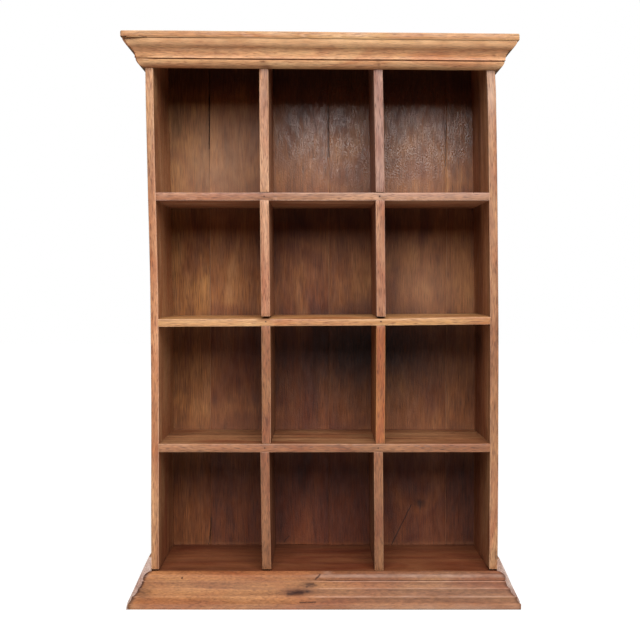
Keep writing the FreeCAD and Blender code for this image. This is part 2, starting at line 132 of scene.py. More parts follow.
def fill(tree: Tree, node: Node, inputs: dict | Sequence) -> Node:
    """Give a node's inputs their values or links.

    Args:
        tree: The node's tree.
        node: The node.
        inputs: Values or sockets, by the name of the input or in their order.

    Returns:
        The same node.
    """
    for name, given in inputs.items() if isinstance(inputs, dict) else enumerate(inputs):
        if isinstance(given, Socket):
            tree.links.new(given, node.inputs[name])
        else:
            node.inputs[name].default_value = given
    return node


def add_node(tree: Tree, kind: str, inputs: dict | Sequence = (), **settings: object) -> Node:
    """Add a node with its settings and links.

    Args:
        tree: The node tree that gets the node.
        kind: The node's type name without its first part.
        inputs: Values or sockets, by the name of the input or in their order.
        settings: Properties of the node itself.

    Returns:
        The new node.
    """
    node = tree.nodes.new(f"ShaderNode{kind}")
    for name, setting in settings.items():
        setattr(node, name, setting)
    return fill(tree, node, inputs)


def new_material(name: str) -> tuple[bpy.types.Material, Tree, Node]:
    """Make a material.

    Args:
        name: Its name.

    Returns:
        The material, its node tree and its shader.
    """
    material = bpy.data.materials.new(name)
    material.use_nodes = True
    return material, material.node_tree, material.node_tree.nodes["Principled BSDF"]


def add_object(name: str, data: bpy.types.ID) -> bpy.types.Object:
    """Put a mesh, lamp or camera into the scene.

    Args:
        name: Name of the object.
        data: What it shows.

    Returns:
        The object.
    """
    made = bpy.data.objects.new(name, data)
    bpy.context.scene.collection.objects.link(made)
    return made


def smooth_step(low: float, high: float, value: float) -> float:
    """Return 0 below low, 1 above high and a smooth rise between them."""
    share = min(1.0, max(0.0, (value - low) / (high - low)))
    return share * share * (3 - 2 * share)


def kept(table: dict) -> dict:
    """Return a dataclass field that starts as the given table."""
    return field(default_factory=lambda: dict(table))


@dataclass(frozen=True)
class Crack:
    """A thin dark line on an upright surface, between two places (across, up) in millimetres."""

    start: Pair
    end: Pair
    width: float = 2
    depth: float = 0.85
    # Shares of its width from its middle: as far as it is darkest, and where it ends.
    core: float = 0.15
    rim: float = 0.7

    def shown(self, tree: Tree, place: Socket) -> Socket:
        """Work out how dark the line is at each place.

        Args:
            tree: The material's node tree.
            place: The place in metres, with its depth taken out.

        Returns:
            0 away from the line, the line's depth on it.
        """
        begin = Vector((self.start[0], 0, self.start[1])) * MM
        way = Vector((self.end[0], 0, self.end[1])) * MM - begin
        off = add_node(tree, "VectorMath", (place, begin), operation="SUBTRACT").outputs[0]
        along = add_node(tree, "VectorMath", (off, way / way.length_squared), operation="DOT_PRODUCT")
        within = add_node(tree, "Clamp", (along.outputs["Value"],)).outputs[0]
        nearest = add_node(tree, "VectorMath", (way, within), operation="MULTIPLY").outputs[0]
        apart = add_node(tree, "VectorMath", (off, nearest), operation="DISTANCE").outputs["Value"]
        fading = (self.core * self.width * MM, self.rim * self.width * MM)
        return add_node(tree, "MapRange", (apart, *fading, self.depth, 0)).outputs[0]


@dataclass(frozen=True)
class WoodFinish:
    """An old hardwood surface, named for the wood and the way it was worked.

    Sizes are lengths along the grain and widths across it, in millimetres.
    """

    name: str
    pale: str
    middle: str
    dark: str
    # Colour of rubbed places, also used for painted highlights on moulding ridges.
    rubbed: str
    # Dark colour of stains, also used for painted shade.
    grime: str = "#2a140b"
    ruddy: str = "#c98a66"
    # Colour that age darkens towards, also used for painted shade.
    patina: str = "#bc8e73"
    figure_mm: Pair = (420, 24)
    # Pores are about 0.3 mm wide and single fibres finer still, so both are drawn coarser to show at all.
    pore_mm: Pair = (13, 1.3)
    pore_range: Pair = (0.56, 0.7)
    pore_depth: float = 0.7
    fibre_mm: Pair = (16, 1.7)
    fibre_depth: float = 0.34
    # Fibres lighten the wood by this share of what they darken it.
    fibre_lift: float = 0.8
    drift_mm: Pair = (230, 60)
    drift_range: Pair = (0.38, 0.68)
    drift: float = 0.7
    patch_mm: Pair = (30, 12)
    grime_mm: Pair = (14, 3)
    ragged: Pair = (0.35, 1.25)
    roughness: Pair = (0.42, 0.62)
    specular: float = 0.5
    ior: float = 1.5
    varnish_roughness: float = 0.3
    # Where the patches have kept their varnish, and how much the barest of them have.
    varnish_range: Pair = (0.35, 0.55)
    varnish_least: float = 0.35
    dimple_mm: Pair = (6.4, 4)
    dimple_depth: float = 0
    bump_mm: float = 0.6
    bump: float = 0.45
    cracks: tuple[Crack, ...] = ()
    waver_mm: float = 9.0909
    waver_out_mm: float = 3

    def material(self) -> bpy.types.Material:
        """Return this finish's material, made once."""
        return bpy.data.materials.get(self.name) or self.made()

    def pattern(self, tree: Tree, size: Pair, detail: float, rough: float = 0.5, bent: float = 0) -> Socket:
        """Lay a noise pattern along the grain.

        Args:
            tree: The material's node tree.
            size: Length and width of its marks.
            detail: How many finer layers it has.
            rough: How strong the finer layers are.
            bent: How far its marks are distorted.

        Returns:
            The pattern's values.
        """
        grain = add_node(tree, "Attribute", attribute_name="grain").outputs["Vector"]
        along, across = (1 / (length * MM) for length in size)
        scaled = add_node(tree, "VectorMath", (grain, (along, across, across)), operation="MULTIPLY")
        layers = {"Scale": 1, "Detail": detail, "Roughness": rough, "Distortion": bent}
        return add_node(tree, "TexNoise", {"Vector": scaled.outputs[0], **layers}).outputs["Fac"]

    def wavering(self, tree: Tree) -> Socket:
        """Shake the place on the piece, so that no crack runs straight.

        Args:
            tree: The material's node tree.

        Returns:
            The shaken place in metres, with its depth taken out.
        """
        place = add_node(tree, "TexCoord").outputs["Object"]
        finely = {"Scale": 1 / (self.waver_mm * MM), "Detail": 2}
        shake = add_node(tree, "TexNoise", {"Vector": place, **finely}).outputs["Color"]
        reach = (self.waver_out_mm * MM,) * 3
        shaken = add_node(tree, "VectorMath", (shake, reach, place), operation="MULTIPLY_ADD").outputs[0]
        return add_node(tree, "VectorMath", (shaken, (1, 0, 1)), operation="MULTIPLY").outputs[0]

    def soiled_and_shaded(self, tree: Tree) -> Socket:
        """Work out how dirty the wood is, and where painted shade darkens it.

        Args:
            tree: The material's node tree.

        Returns:
            Stains and painted shade with ragged edges, and cracks full of dirt.
        """
        ragged = self.pattern(tree, self.grime_mm, detail=4)
        edge = add_node(tree, "MapRange", (ragged, *MOST, *self.ragged)).outputs[0]
        # Stains, and the shade that is painted on as stain.
        stain = add_node(tree, "Attribute", attribute_name="stain").outputs["Fac"]
        dirt_and_shade = add_node(tree, "Math", (stain, edge), operation="MULTIPLY", use_clamp=True).outputs[0]
        place = self.wavering(tree) if self.cracks else None
        for crack in self.cracks:
            dirt_and_shade = add_node(tree, "Math", (dirt_and_shade, crack.shown(tree, place)), operation="MAXIMUM").outputs[0]
        return dirt_and_shade

    def coloured(self, tree: Tree, figure: Socket, pits: Socket, patchy: Socket) -> Socket:
        """Work out the wood's colour.

        Args:
            tree: The material's node tree.
            figure: Growth rings and streaks.
            pits: Depth of the pores.
            patchy: Pattern that wear follows.

        Returns:
            The colour with its drift, pores, fibres, rubbed places and painted highlights, grime and painted
            shade, and age.
        """
        tone = add_node(tree, "ValToRGB", (figure,))
        ramp = tone.color_ramp.elements
        for stop, position, shade in zip(ramp, MOST, (self.dark, self.pale)):
            stop.position, stop.color = position, linear(shade)
        ramp.new(sum(MOST) / 2).color = linear(self.middle)
        drift = self.pattern(tree, self.drift_mm, detail=2, bent=1.2)
        drifting = add_node(tree, "MapRange", (drift, *self.drift_range, 0, self.drift)).outputs[0]
        fibres = self.pattern(tree, self.fibre_mm, detail=3, rough=0.6)
        weights = (1 - self.fibre_depth, 1 + self.fibre_lift * self.fibre_depth)
        weight = add_node(tree, "MapRange", (fibres, *MOST, *weights)).outputs[0]
        # Rubbed places, painted highlights on moulding ridges among them.
        wear = add_node(tree, "Attribute", attribute_name="wear").outputs["Fac"]
        worn = add_node(tree, "Math", (wear, patchy), operation="MULTIPLY").outputs[0]
        # Darkening with age, and painted shade on the back boards and a side's inner face.
        patina = add_node(tree, "Attribute", attribute_name="patina").outputs["Fac"]
        colour = tone.outputs[0]
        for share, shade, how in (
                (drifting, linear(self.ruddy), "MULTIPLY"), (pits, linear(self.dark), "MULTIPLY"),
                (1, weight, "MULTIPLY"), (worn, linear(self.rubbed), "MIX"),
                (self.soiled_and_shaded(tree), linear(self.grime), "MIX"), (patina, linear(self.patina), "MULTIPLY")):
            colour = add_node(tree, "MixRGB", (share, colour, shade), blend_type=how).outputs[0]
        return colour

    def dulled(self, tree: Tree, patchy: Socket) -> Socket:
        """Work out how rough the surface is.

        Args:
            tree: The material's node tree.
            patchy: Pattern that wear follows.

        Returns:
            The wax's roughness, lower where varnish is left.
        """
        matt = add_node(tree, "MapRange", (patchy, *MOST, *self.roughness)).outputs[0]
        varnish = add_node(tree, "MapRange", (patchy, *self.varnish_range, self.varnish_least, 1)).outputs[0]
        gloss = add_node(tree, "Attribute", attribute_name="gloss").outputs["Fac"]
        shine = add_node(tree, "Math", (gloss, varnish), operation="MULTIPLY").outputs[0]
        return add_node(tree, "MapRange", (shine, 0, 1, matt, self.varnish_roughness)).outputs[0]

    def made(self) -> bpy.types.Material:
        """Build the material.

        Returns:
            A wood with growth rings, streaks, pores, colour drift, grime and rubbed edges, and the painted
            shade and highlights that its points carry.
        """
        material, tree, shader = new_material(self.name)
        figure = self.pattern(tree, self.figure_mm, detail=7, rough=0.64, bent=0.7)
        pores = self.pattern(tree, self.pore_mm, detail=1)
        pits = add_node(tree, "MapRange", (pores, *self.pore_range, 0, self.pore_depth)).outputs[0]
        patchy = self.pattern(tree, self.patch_mm, detail=3)
        height = add_node(tree, "Math", (pits, -1, figure), operation="MULTIPLY_ADD").outputs[0]
        if self.dimple_depth:
            dimples = self.pattern(tree, self.dimple_mm, detail=3, rough=0.55)
            raised = (dimples, self.dimple_depth, height)
            height = add_node(tree, "Math", raised, operation="MULTIPLY_ADD").outputs[0]
        relief = {"Height": height, "Distance": self.bump_mm * MM, "Strength": self.bump}
        bump = add_node(tree, "Bump", relief)
        fill(tree, shader, {
            "Base Color": self.coloured(tree, figure, pits, patchy), "Roughness": self.dulled(tree, patchy),
            "Normal": bump.outputs[0], "IOR": self.ior, "Specular IOR Level": self.specular})
        return material


@dataclass(frozen=True)
class IronFinish:
    """Hand-cut iron, darkened and rusted in the wood."""

    name: str = "wrought_iron_hand_cut_and_rusted"
    metal: str = "#4a3a30"
    rust: str = "#5a3320"
    grit_mm: float = 1.2
    rust_range: Pair = (0.42, 0.6)
    roughness: Pair = (0.5, 0.9)
    metallic: float = 0.6
    bump_mm: float = 0.2

    def material(self) -> bpy.types.Material:
        """Return this finish's material, made once."""
        return bpy.data.materials.get(self.name) or self.made()

    def made(self) -> bpy.types.Material:
        """Build the material.

        Returns:
            Dull dark iron with brown rust in patches.
        """
        material, tree, shader = new_material(self.name)
        place = add_node(tree, "TexCoord").outputs["Object"]
        finely = {"Scale": 1 / (self.grit_mm * MM), "Detail": 4}
        grit = add_node(tree, "TexNoise", {"Vector": place, **finely}).outputs["Fac"]
        rusty = add_node(tree, "MapRange", (grit, *self.rust_range)).outputs[0]
        colour = add_node(tree, "MixRGB", (rusty, linear(self.metal), linear(self.rust))).outputs[0]
        rough = add_node(tree, "MapRange", (rusty, 0, 1, *self.roughness)).outputs[0]
        bump = add_node(tree, "Bump", {"Height": grit, "Distance": self.bump_mm * MM}).outputs[0]
        fill(tree, shader, {
            "Base Color": colour, "Roughness": rough, "Normal": bump, "Metallic": self.metallic})
        return material


def toned(base: WoodFinish, name: str, colours: str, **changes: object) -> WoodFinish:
    """Return a finish in other colours: pale, middle, dark and, where it differs, rubbed."""
    tones = dict(zip(("pale", "middle", "dark", "rubbed"), colours.split()))
    return replace(base, name=name, **tones, **changes)


# Old teak, planed by hand and waxed: honey-tan with fine dark pores and soft gloss.
TEAK = WoodFinish("teak_planed_and_waxed", "#c99f7c", "#b58663", "#8c6041", "#d6ae8c")
# Boards from other logs, planed and waxed alike: rosier, duskier, more golden, browner or more orange.
TEAK_ROSE = toned(TEAK, "teak_rosy_planed_and_waxed", "#c19570 #ae7e5c #885b3e #cfb3a4")
TEAK_DUSKY = toned(TEAK, "teak_dusky_planed_and_waxed", "#b08b76 #9d7766 #7c5949 #bd9a86")
TEAK_GOLD = toned(TEAK, "teak_golden_planed_and_waxed", "#d0a774 #bd8e59 #906335")
TEAK_BROWN = toned(TEAK, "teak_brown_planed_and_waxed", "#b0815b #9a6c46 #744b2f #c39a78")
TEAK_ORANGE = toned(TEAK, "teak_orange_planed_and_waxed", "#bf884f #ad703b #864f24 #c6945f")
# The two sides, of the same teak, with one dark scar high on the right edge.
TEAK_SIDE = toned(TEAK, "teak_sides_planed_and_waxed", "#d0a47b #bd8b60 #93633d #d8bca8",
                  cracks=(Crack((293.6, 934), (294.4, 913), 2.2, 0.5),))
# The bottom board, worn smooth by what was slid over it: calm and brown.
TEAK_FLOOR = toned(TEAK_BROWN, "teak_bottom_board_planed_and_waxed", "#a67853 #976a47 #7e5437",
                   figure_mm=(300, 40), pore_depth=0.2, fibre_depth=0.16)
# The same teak moulded with planes, kept clean: golden, with long straight streaks.
MOULDED = toned(TEAK, "teak_moulded_and_waxed", "#e0b486 #cd9d6c #a16d41 #ecbc8c", grime="#5a2c12",
                figure_mm=(600, 16), pore_depth=0.65, fibre_depth=0.36, ragged=(0.75, 1.2),
                cracks=(Crack((-313, 995.5), (-300, 992.5), 2.2, 0.7),))
# The top board, planed flat and a little dusty: duller gold with quieter grain.
TOP_BOARD = toned(MOULDED, "teak_top_board_planed_and_waxed", "#c9a472 #b88e5a #8f6537 #cfa67a",
                  pore_depth=0.55, fibre_depth=0.26)
# Skirting of the same teak, scuffed by feet and brooms: orange-brown, greyed where rubbed and on painted
# ridge highlights, with a knot.
SKIRTING = toned(TEAK, "teak_moulded_scuffed_and_waxed", "#c38858 #ac7446 #81512f #d2ac98", grime="#32160c",
                 figure_mm=(500, 18), pore_mm=(7, 1.6), pore_depth=0.35, fibre_mm=(8, 2.2), fibre_depth=0.3,
                 ragged=(0.6, 1.1), roughness=(0.65, 0.85), specular=0.3, cracks=(
                     Crack((-9.7, 49.1), (-2.2, 56.7), 3.4), Crack((-37, 13.6), (-9.7, 13.6), 2.4),
                     Crack((-57, 26.5), (-33, 27.5), 8.5, 0.88), Crack((-25, 37.5), (-14, 41.5), 6, 0.8)))
# The raked boards at the sides, scuffed alike but without the knot.
SIDE_SKIRTING = replace(SKIRTING, name="teak_raked_scuffed_and_waxed", cracks=())
# Their mitred ends are bare end grain: pale grey, matt and speckled with open pores.
END_GRAIN = toned(TEAK, "teak_sawn_end_grain_bare", "#dfc9bd #cfb4a6 #a88b7d #e3d2c8", figure_mm=(9, 5),
                  pore_mm=(2.2, 2.2), roughness=(0.75, 0.9))
# Back boards, dry on the left: brown with old handling marks, and dirt in both ends of the open seam.
BACK_DRY = toned(TEAK, "teak_back_boards_dry", "#b48350 #9f6b38 #764720", roughness=(0.6, 0.8), specular=0.4,
                 figure_mm=(260, 40), pore_mm=(24, 1.4), pore_depth=0.5, fibre_mm=(34, 1.6), fibre_depth=0.46,
                 drift_mm=(150, 110), drift=0.9, ruddy="#c0a092", ragged=(0.8, 1.1), cracks=(
                     Crack((-215.8, 935), (-216.2, 830), 2, 0.8), Crack((-213, 113), (-219, 60), 1.8, 0.8)))
# The other back boards under old varnish: darker, dimpled where it has crazed, with scratches and dark seams.
BACK_GLOSSY = toned(BACK_DRY, "teak_back_boards_varnished", "#b07b49 #996235 #70411f", pore_depth=0.42,
                    fibre_depth=0.36, specular=0.5, varnish_roughness=0.14, dimple_mm=(3.52, 2.2),
                    dimple_depth=3, cracks=(
                        *BACK_DRY.cracks, Crack((-72, 66), (-62, 78), 1.6),
                        Crack((-224, 322), (-218, 335), 3, 0.6), Crack((175.9, 138.8), (137, 59), 2.4),
                        Crack((14, 915), (14.6, 815), 4, 0.7), Crack((240, 884), (240.5, 797), 3, 0.6)))
# Rails that nobody sees, straight from the saw: paler, matt and open-pored.
ROUGH = toned(TEAK, "teak_rough_sawn", "#a8835f #8d6a49 #64472f", roughness=(0.7, 0.9), pore_depth=0.8)
# Nails cut by hand and rusted in the wood: dull, dark brown and gritty.
IRON = IronFinish()


@dataclass(frozen=True)
class Settling:
    """How the old carcass has racked: its head leans left, its waist bows right, its cornice falls right."""

    lean: float = 7.7
    bow: float = 4.1
    splay: float = 1
    height: float = 1000
    cornice_fall: float = 6
    width: float = 686
    # Places across: where the left side stays straighter, and where the right side stands proud.
    left_edge: Pair = (120, 291)
    right_edge: Pair = (200, 291)
    # Heights over which the right side comes off the base and goes back, and over which the cornice falls.
    foot_zone: Pair = (40, 60)
    head_zone: Pair = (900, 945)
    cornice_zone: Pair = (880, 960)

    def racked(self, height: float) -> float:
        """Return how far right the middle of the carcass stands at a height."""
        rise = height / self.height
        return self.bow * math.sin(math.pi * rise) - self.lean * (rise - 0.5)

    def moved(self, point: Vector) -> Vector:
        """Carry a point along with the racked carcass.

        Args:
            point: Its place in the square carcass.

        Returns:
            Its place now.
        """
        wave = math.sin(math.pi * point.z / self.height)
        straight = self.bow * wave * (1 - wave) * smooth_step(*self.left_edge, -point.x)
        proud = self.splay * smooth_step(*self.right_edge, point.x) * smooth_step(*self.foot_zone, point.z)
        proud *= 1 - smooth_step(*self.head_zone, point.z)
        x = point.x + self.racked(point.z) - straight + proud
        fall = self.cornice_fall * smooth_step(*self.cornice_zone, point.z) * point.x / self.width
        return Vector((x, point.y, point.z - fall))


SETTLING = Settling()


@dataclass(frozen=True)
class Mark:
    """A mark on a surface: its middle, its reach along each axis and how strong it is."""

    middle: Triple
    reach: Triple
    depth: float

    def at(self, point: Vector) -> float:
        """Work out how strong the mark is.

        Args:
            point: A point of the square piece.

        Returns:
            The mark's strength there.
        """
        off = point - Vector(self.middle)
        spread = sum((off[k] / self.reach[k]) ** 2 for k in range(3))
        return self.depth * math.exp(-spread) if spread < FAINT else 0.0


def spots(*rows: tuple[float, ...]) -> tuple[Mark, ...]:
    """Return marks on a face, each from its place, its reach across, its reach upwards and its strength."""
    return tuple(Mark((x, y, z), (wide, FACE_REACH, tall), depth) for x, y, z, wide, tall, depth in rows)


def back_spots(*rows: tuple[float, ...]) -> tuple[Mark, ...]:
    """Return marks on the back boards, each from its place across and up, its reaches and its strength."""
    return spots(*((x, BACK_FACE, *rest) for x, *rest in rows))


@dataclass(frozen=True)
class Station:
    """A point of a moulding's outline: how far out, how high, how rubbed and how dirty, painted highlight and
    shade included.
    """

    out: float
    height: float
    rub_and_highlight: float = 0.0
    dirt_and_shade: float = 0.0

    def towards(self, other: "Station", share: float) -> "Station":
        """Return the station that lies a share of the way to another."""
        pairs = ((getattr(self, name), getattr(other, name)) for name in ("out", "height", "rub_and_highlight", "dirt_and_shade"))
        return Station(*(a + (b - a) * share for a, b in pairs))


@dataclass
class Shell:
    """Points and faces of one piece in millimetres, with the square place and the traces of each point."""

    points: list[Vector] = field(default_factory=list)
    places: list[Vector] = field(default_factory=list)
    faces: list[tuple[int, ...]] = field(default_factory=list)
    ends: list[int] = field(default_factory=list)
    traces: dict[str, list[float]] = field(default_factory=lambda: {name: [] for name in TRACES})

    def add_point(self, point: Vector, wear: float = 0.0, stain: float = 0.0) -> int:
        """Add a point.

        Args:
            point: Its place.
            wear: How rubbed it is, painted highlight included.
            stain: How dirty it is, painted shade included.

        Returns:
            Its number.
        """
        self.points.append(point.copy())
        self.places.append(point.copy())
        for name, amount in zip(TRACES, (wear, stain, 0.0, 0.0)):
            self.traces[name].append(amount)
        return len(self.points) - 1

    def add_board(self, low: Sequence[float], high: Sequence[float], ease: float, step: float = 8) -> None:
        """Add a board with eased arrises, divided finely enough to warp.

        Args:
            low: Its lowest corner.
            high: Its highest corner.
            ease: Radius of its arrises.
            step: Distance between the points of its faces.
        """
        cuts = []
        for a, b in zip(low, high):
            parts = max(1, round((b - a - 2 * ease) / step))
            even = [a + ease + (b - a - 2 * ease) * k / parts for k in range(parts + 1)]
            cuts.append([a, a + ARRIS_CUT * ease, *even, b - ARRIS_CUT * ease, b])
        core_low = Vector(low) + Vector((ease, ease, ease))
        core_high = Vector(high) - Vector((ease, ease, ease))
        numbers: dict[tuple[int, ...], int] = {}

        def corner(key: tuple[int, ...]) -> int:
            """Find or add a point of the lattice.

            Args:
                key: Which cut it lies on along each axis.

            Returns:
                Its number.
            """
            if key not in numbers:
                point = Vector([cuts[k][key[k]] for k in range(3)])
                core = Vector([min(max(point[k], core_low[k]), core_high[k]) for k in range(3)])
                off = point - core
                on_arris = sum(abs(c) > ARRIS_OFF * ease for c in off) > 1
                numbers[key] = self.add_point(core + off.normalized() * ease, float(on_arris))
            return numbers[key]

        for axis in range(3):
            u, v = (axis + 1) % 3, (axis + 2) % 3
            last, last_u, last_v = (len(cuts[k]) - 1 for k in (axis, u, v))
            for end, i, j in product((0, last), range(last_u), range(last_v)):
                ring = []
                for a, b in ((i, j), (i + 1, j), (i + 1, j + 1), (i, j + 1)):
                    key = [0, 0, 0]
                    key[axis], key[u], key[v] = end, a, b
                    ring.append(corner(tuple(key)))
                self.faces.append(tuple(ring if end else ring[::-1]))

    def add_sweep(self, rings: list[list[Vector]], tags: Sequence[Sequence[Station]]) -> None:
        """Add a moulding through rings of points, closed at both ends.

        Args:
            rings: Closed outlines from one end to the other, with as many points each.
            tags: For each ring, how rubbed and how dirty its points are, painted highlight and shade
                included.
        """
        numbers = [[self.add_point(p, s.rub_and_highlight, s.dirt_and_shade) for p, s in zip(ring, line)]
                   for ring, line in zip(rings, tags)]
        for first, second in zip(numbers, numbers[1:]):
            for k in range(len(first)):
                after = (k + 1) % len(first)
                self.faces.append((first[k], first[after], second[after], second[k]))
        for ring in (numbers[0][::-1], numbers[-1]):
            self.ends.append(len(self.faces))
            self.faces.append(tuple(ring))

    def mark(self, **marks: Sequence[Mark]) -> None:
        """Leave traces on the points that marks cover.

        Args:
            marks: Marks by the trace that they leave.
        """
        for name, given in marks.items():
            amounts = self.traces[name]
            for number, place in enumerate(self.places):
                amounts[number] = min(1.0, max(0.0, amounts[number] + sum(m.at(place) for m in given)))

    def age(self, seed: float, wobble: float = 0.5, nick: float = 2.2, chips: Sequence[Mark] = ()) -> None:
        """Give the piece the unevenness of hand planing, and nicks along its arrises.

        Args:
            seed: Moves the pattern, so that no two pieces wear alike.
            wobble: How far a face strays from flat, in millimetres.
            nick: How deep the arrises are dented.
            chips: Places where an arris has broken away, as deep as the mark in millimetres.
        """
        low = [min(p[k] for p in self.points) + ARRIS for k in range(3)]
        high = [max(p[k] for p in self.points) - ARRIS for k in range(3)]
        for number, point in enumerate(self.points):
            place = point + Vector((seed, seed * SEED_SKEW, -seed))
            moved = point + noise.noise_vector(place / PLANING_WAVE) * wobble
            if self.traces["wear"][number] > ARRIS_RUB:
                dent = sum(max(0.0, noise.noise(place / size) - level) * nick for size, level in DENTS)
                dent += sum(chip.at(point) for chip in chips)
                inwards = Vector([(point[k] < low[k]) - (point[k] > high[k]) for k in range(3)])
                moved += inwards * dent * DENT_SHARE
            self.points[number] = moved

    def finished(self, how: str, node: str, finish: WoodFinish | IronFinish, grain: Grain, slot: Slot,
                 end_finish: WoodFinish | None = None) -> None:
        """Move the piece to where the racked carcass has carried it, and make the object.

        Args:
            how: First part of its name, how it was worked.
            node: CAD node that it stands for.
            finish: Finish that it gets.
            grain: Direction of its grain.
            slot: Record slot that it takes its finish from. Not used.
            end_finish: Finish of its cut ends, where that differs.
        """
        name = f"{how}_{node}"
        mesh = bpy.data.meshes.new(name)
        mesh.from_pydata([tuple(SETTLING.moved(p) * MM) for p in self.points], [], self.faces)
        picked = random.Random(name)
        start = Vector([picked.uniform(-LOG_REACH, LOG_REACH) for _ in range(3)])
        coordinates = mesh.attributes.new("grain", "FLOAT_VECTOR", "POINT")
        coordinates.data.foreach_set("vector", [c for p in self.places for c in grain.along(p) * MM + start])
        for title, amounts in self.traces.items():
            mesh.attributes.new(title, "FLOAT", "POINT").data.foreach_set("value", amounts)
        mesh.shade_smooth()
        mesh.set_sharp_from_angle(angle=CREASE)
        mesh.materials.append(finish.material())
        if end_finish:
            mesh.materials.append(end_finish.material())
            for face in self.ends:
                mesh.polygons[face].material_index = 1
        mesh.validate()
        piece = add_object(name, mesh)
        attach(piece, "root")
        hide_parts(node)
        LOG.info("%s: %d points", name, len(self.points))


def softened(line: list[Station], times: int) -> list[Station]:
    """Rub down the ridges of an outline.

    Args:
        line: The outline as it was planed.
        times: How often it was rubbed over.

    Returns:
        As many stations, with the first and last two where they were.
    """
    soft = list(line)
    for _ in range(times):
        soft[2:-2] = [b.towards(a.towards(c, 0.5), 0.5) for a, b, c in zip(soft[1:], soft[2:-2], soft[3:])]
    return soft


def curved(start: Station, end: Station, radius: float, bulge: int, sharp: float = 6) -> list[Station]:
    """Lay stations along the shorter arc between two, tagged like the first until close to the other.

    Args:
        start: First station, which is left out.
        end: Last station, which is included.
        radius: Radius of the arc.
        bulge: 1 to bulge to the left of the way, -1 to the right.
        sharp: How late rub and dirt turn into those of the last one, 1 for evenly.

    Returns:
        The stations.
    """
    a, b = Vector((start.out, start.height)), Vector((end.out, end.height))
    chord = b - a
    half = chord.length / 2
    leftwards = Vector((-chord.y, chord.x)).normalized()
    centre = (a + b) / 2 - leftwards * (bulge * math.sqrt(radius * radius - half * half))
    sweep = -2 * bulge * math.asin(half / radius)
    off = a - centre
    line = []
    for k in range(1, CURVE_STEPS + 1):
        turn = sweep * k / CURVE_STEPS
        line.append(replace(start.towards(end, (k / CURVE_STEPS) ** sharp),
                            out=centre.x + off.x * math.cos(turn) - off.y * math.sin(turn),
                            height=centre.y + off.x * math.sin(turn) + off.y * math.cos(turn)))
    return line


def node_box(node: str) -> tuple[Vector, Vector]:
    """Return the corners of a CAD node in millimetres."""
    low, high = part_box(node)
    return low / MM, high / MM


@dataclass(frozen=True)
class Shelf:
    """Looks of a shelf: finish, even wear and hollow of its front edge, and its rise to the right."""

    finish: WoodFinish
    worn: float = 0
    hollow: float = 0
    rise: float = 0


@dataclass(frozen=True)
class Divider:
    """Looks of a divider: how far right its head and foot stand, finish, darkening and gap under its foot."""

    head: float
    foot: float
    finish: WoodFinish
    patina: float
    gap: float = 0


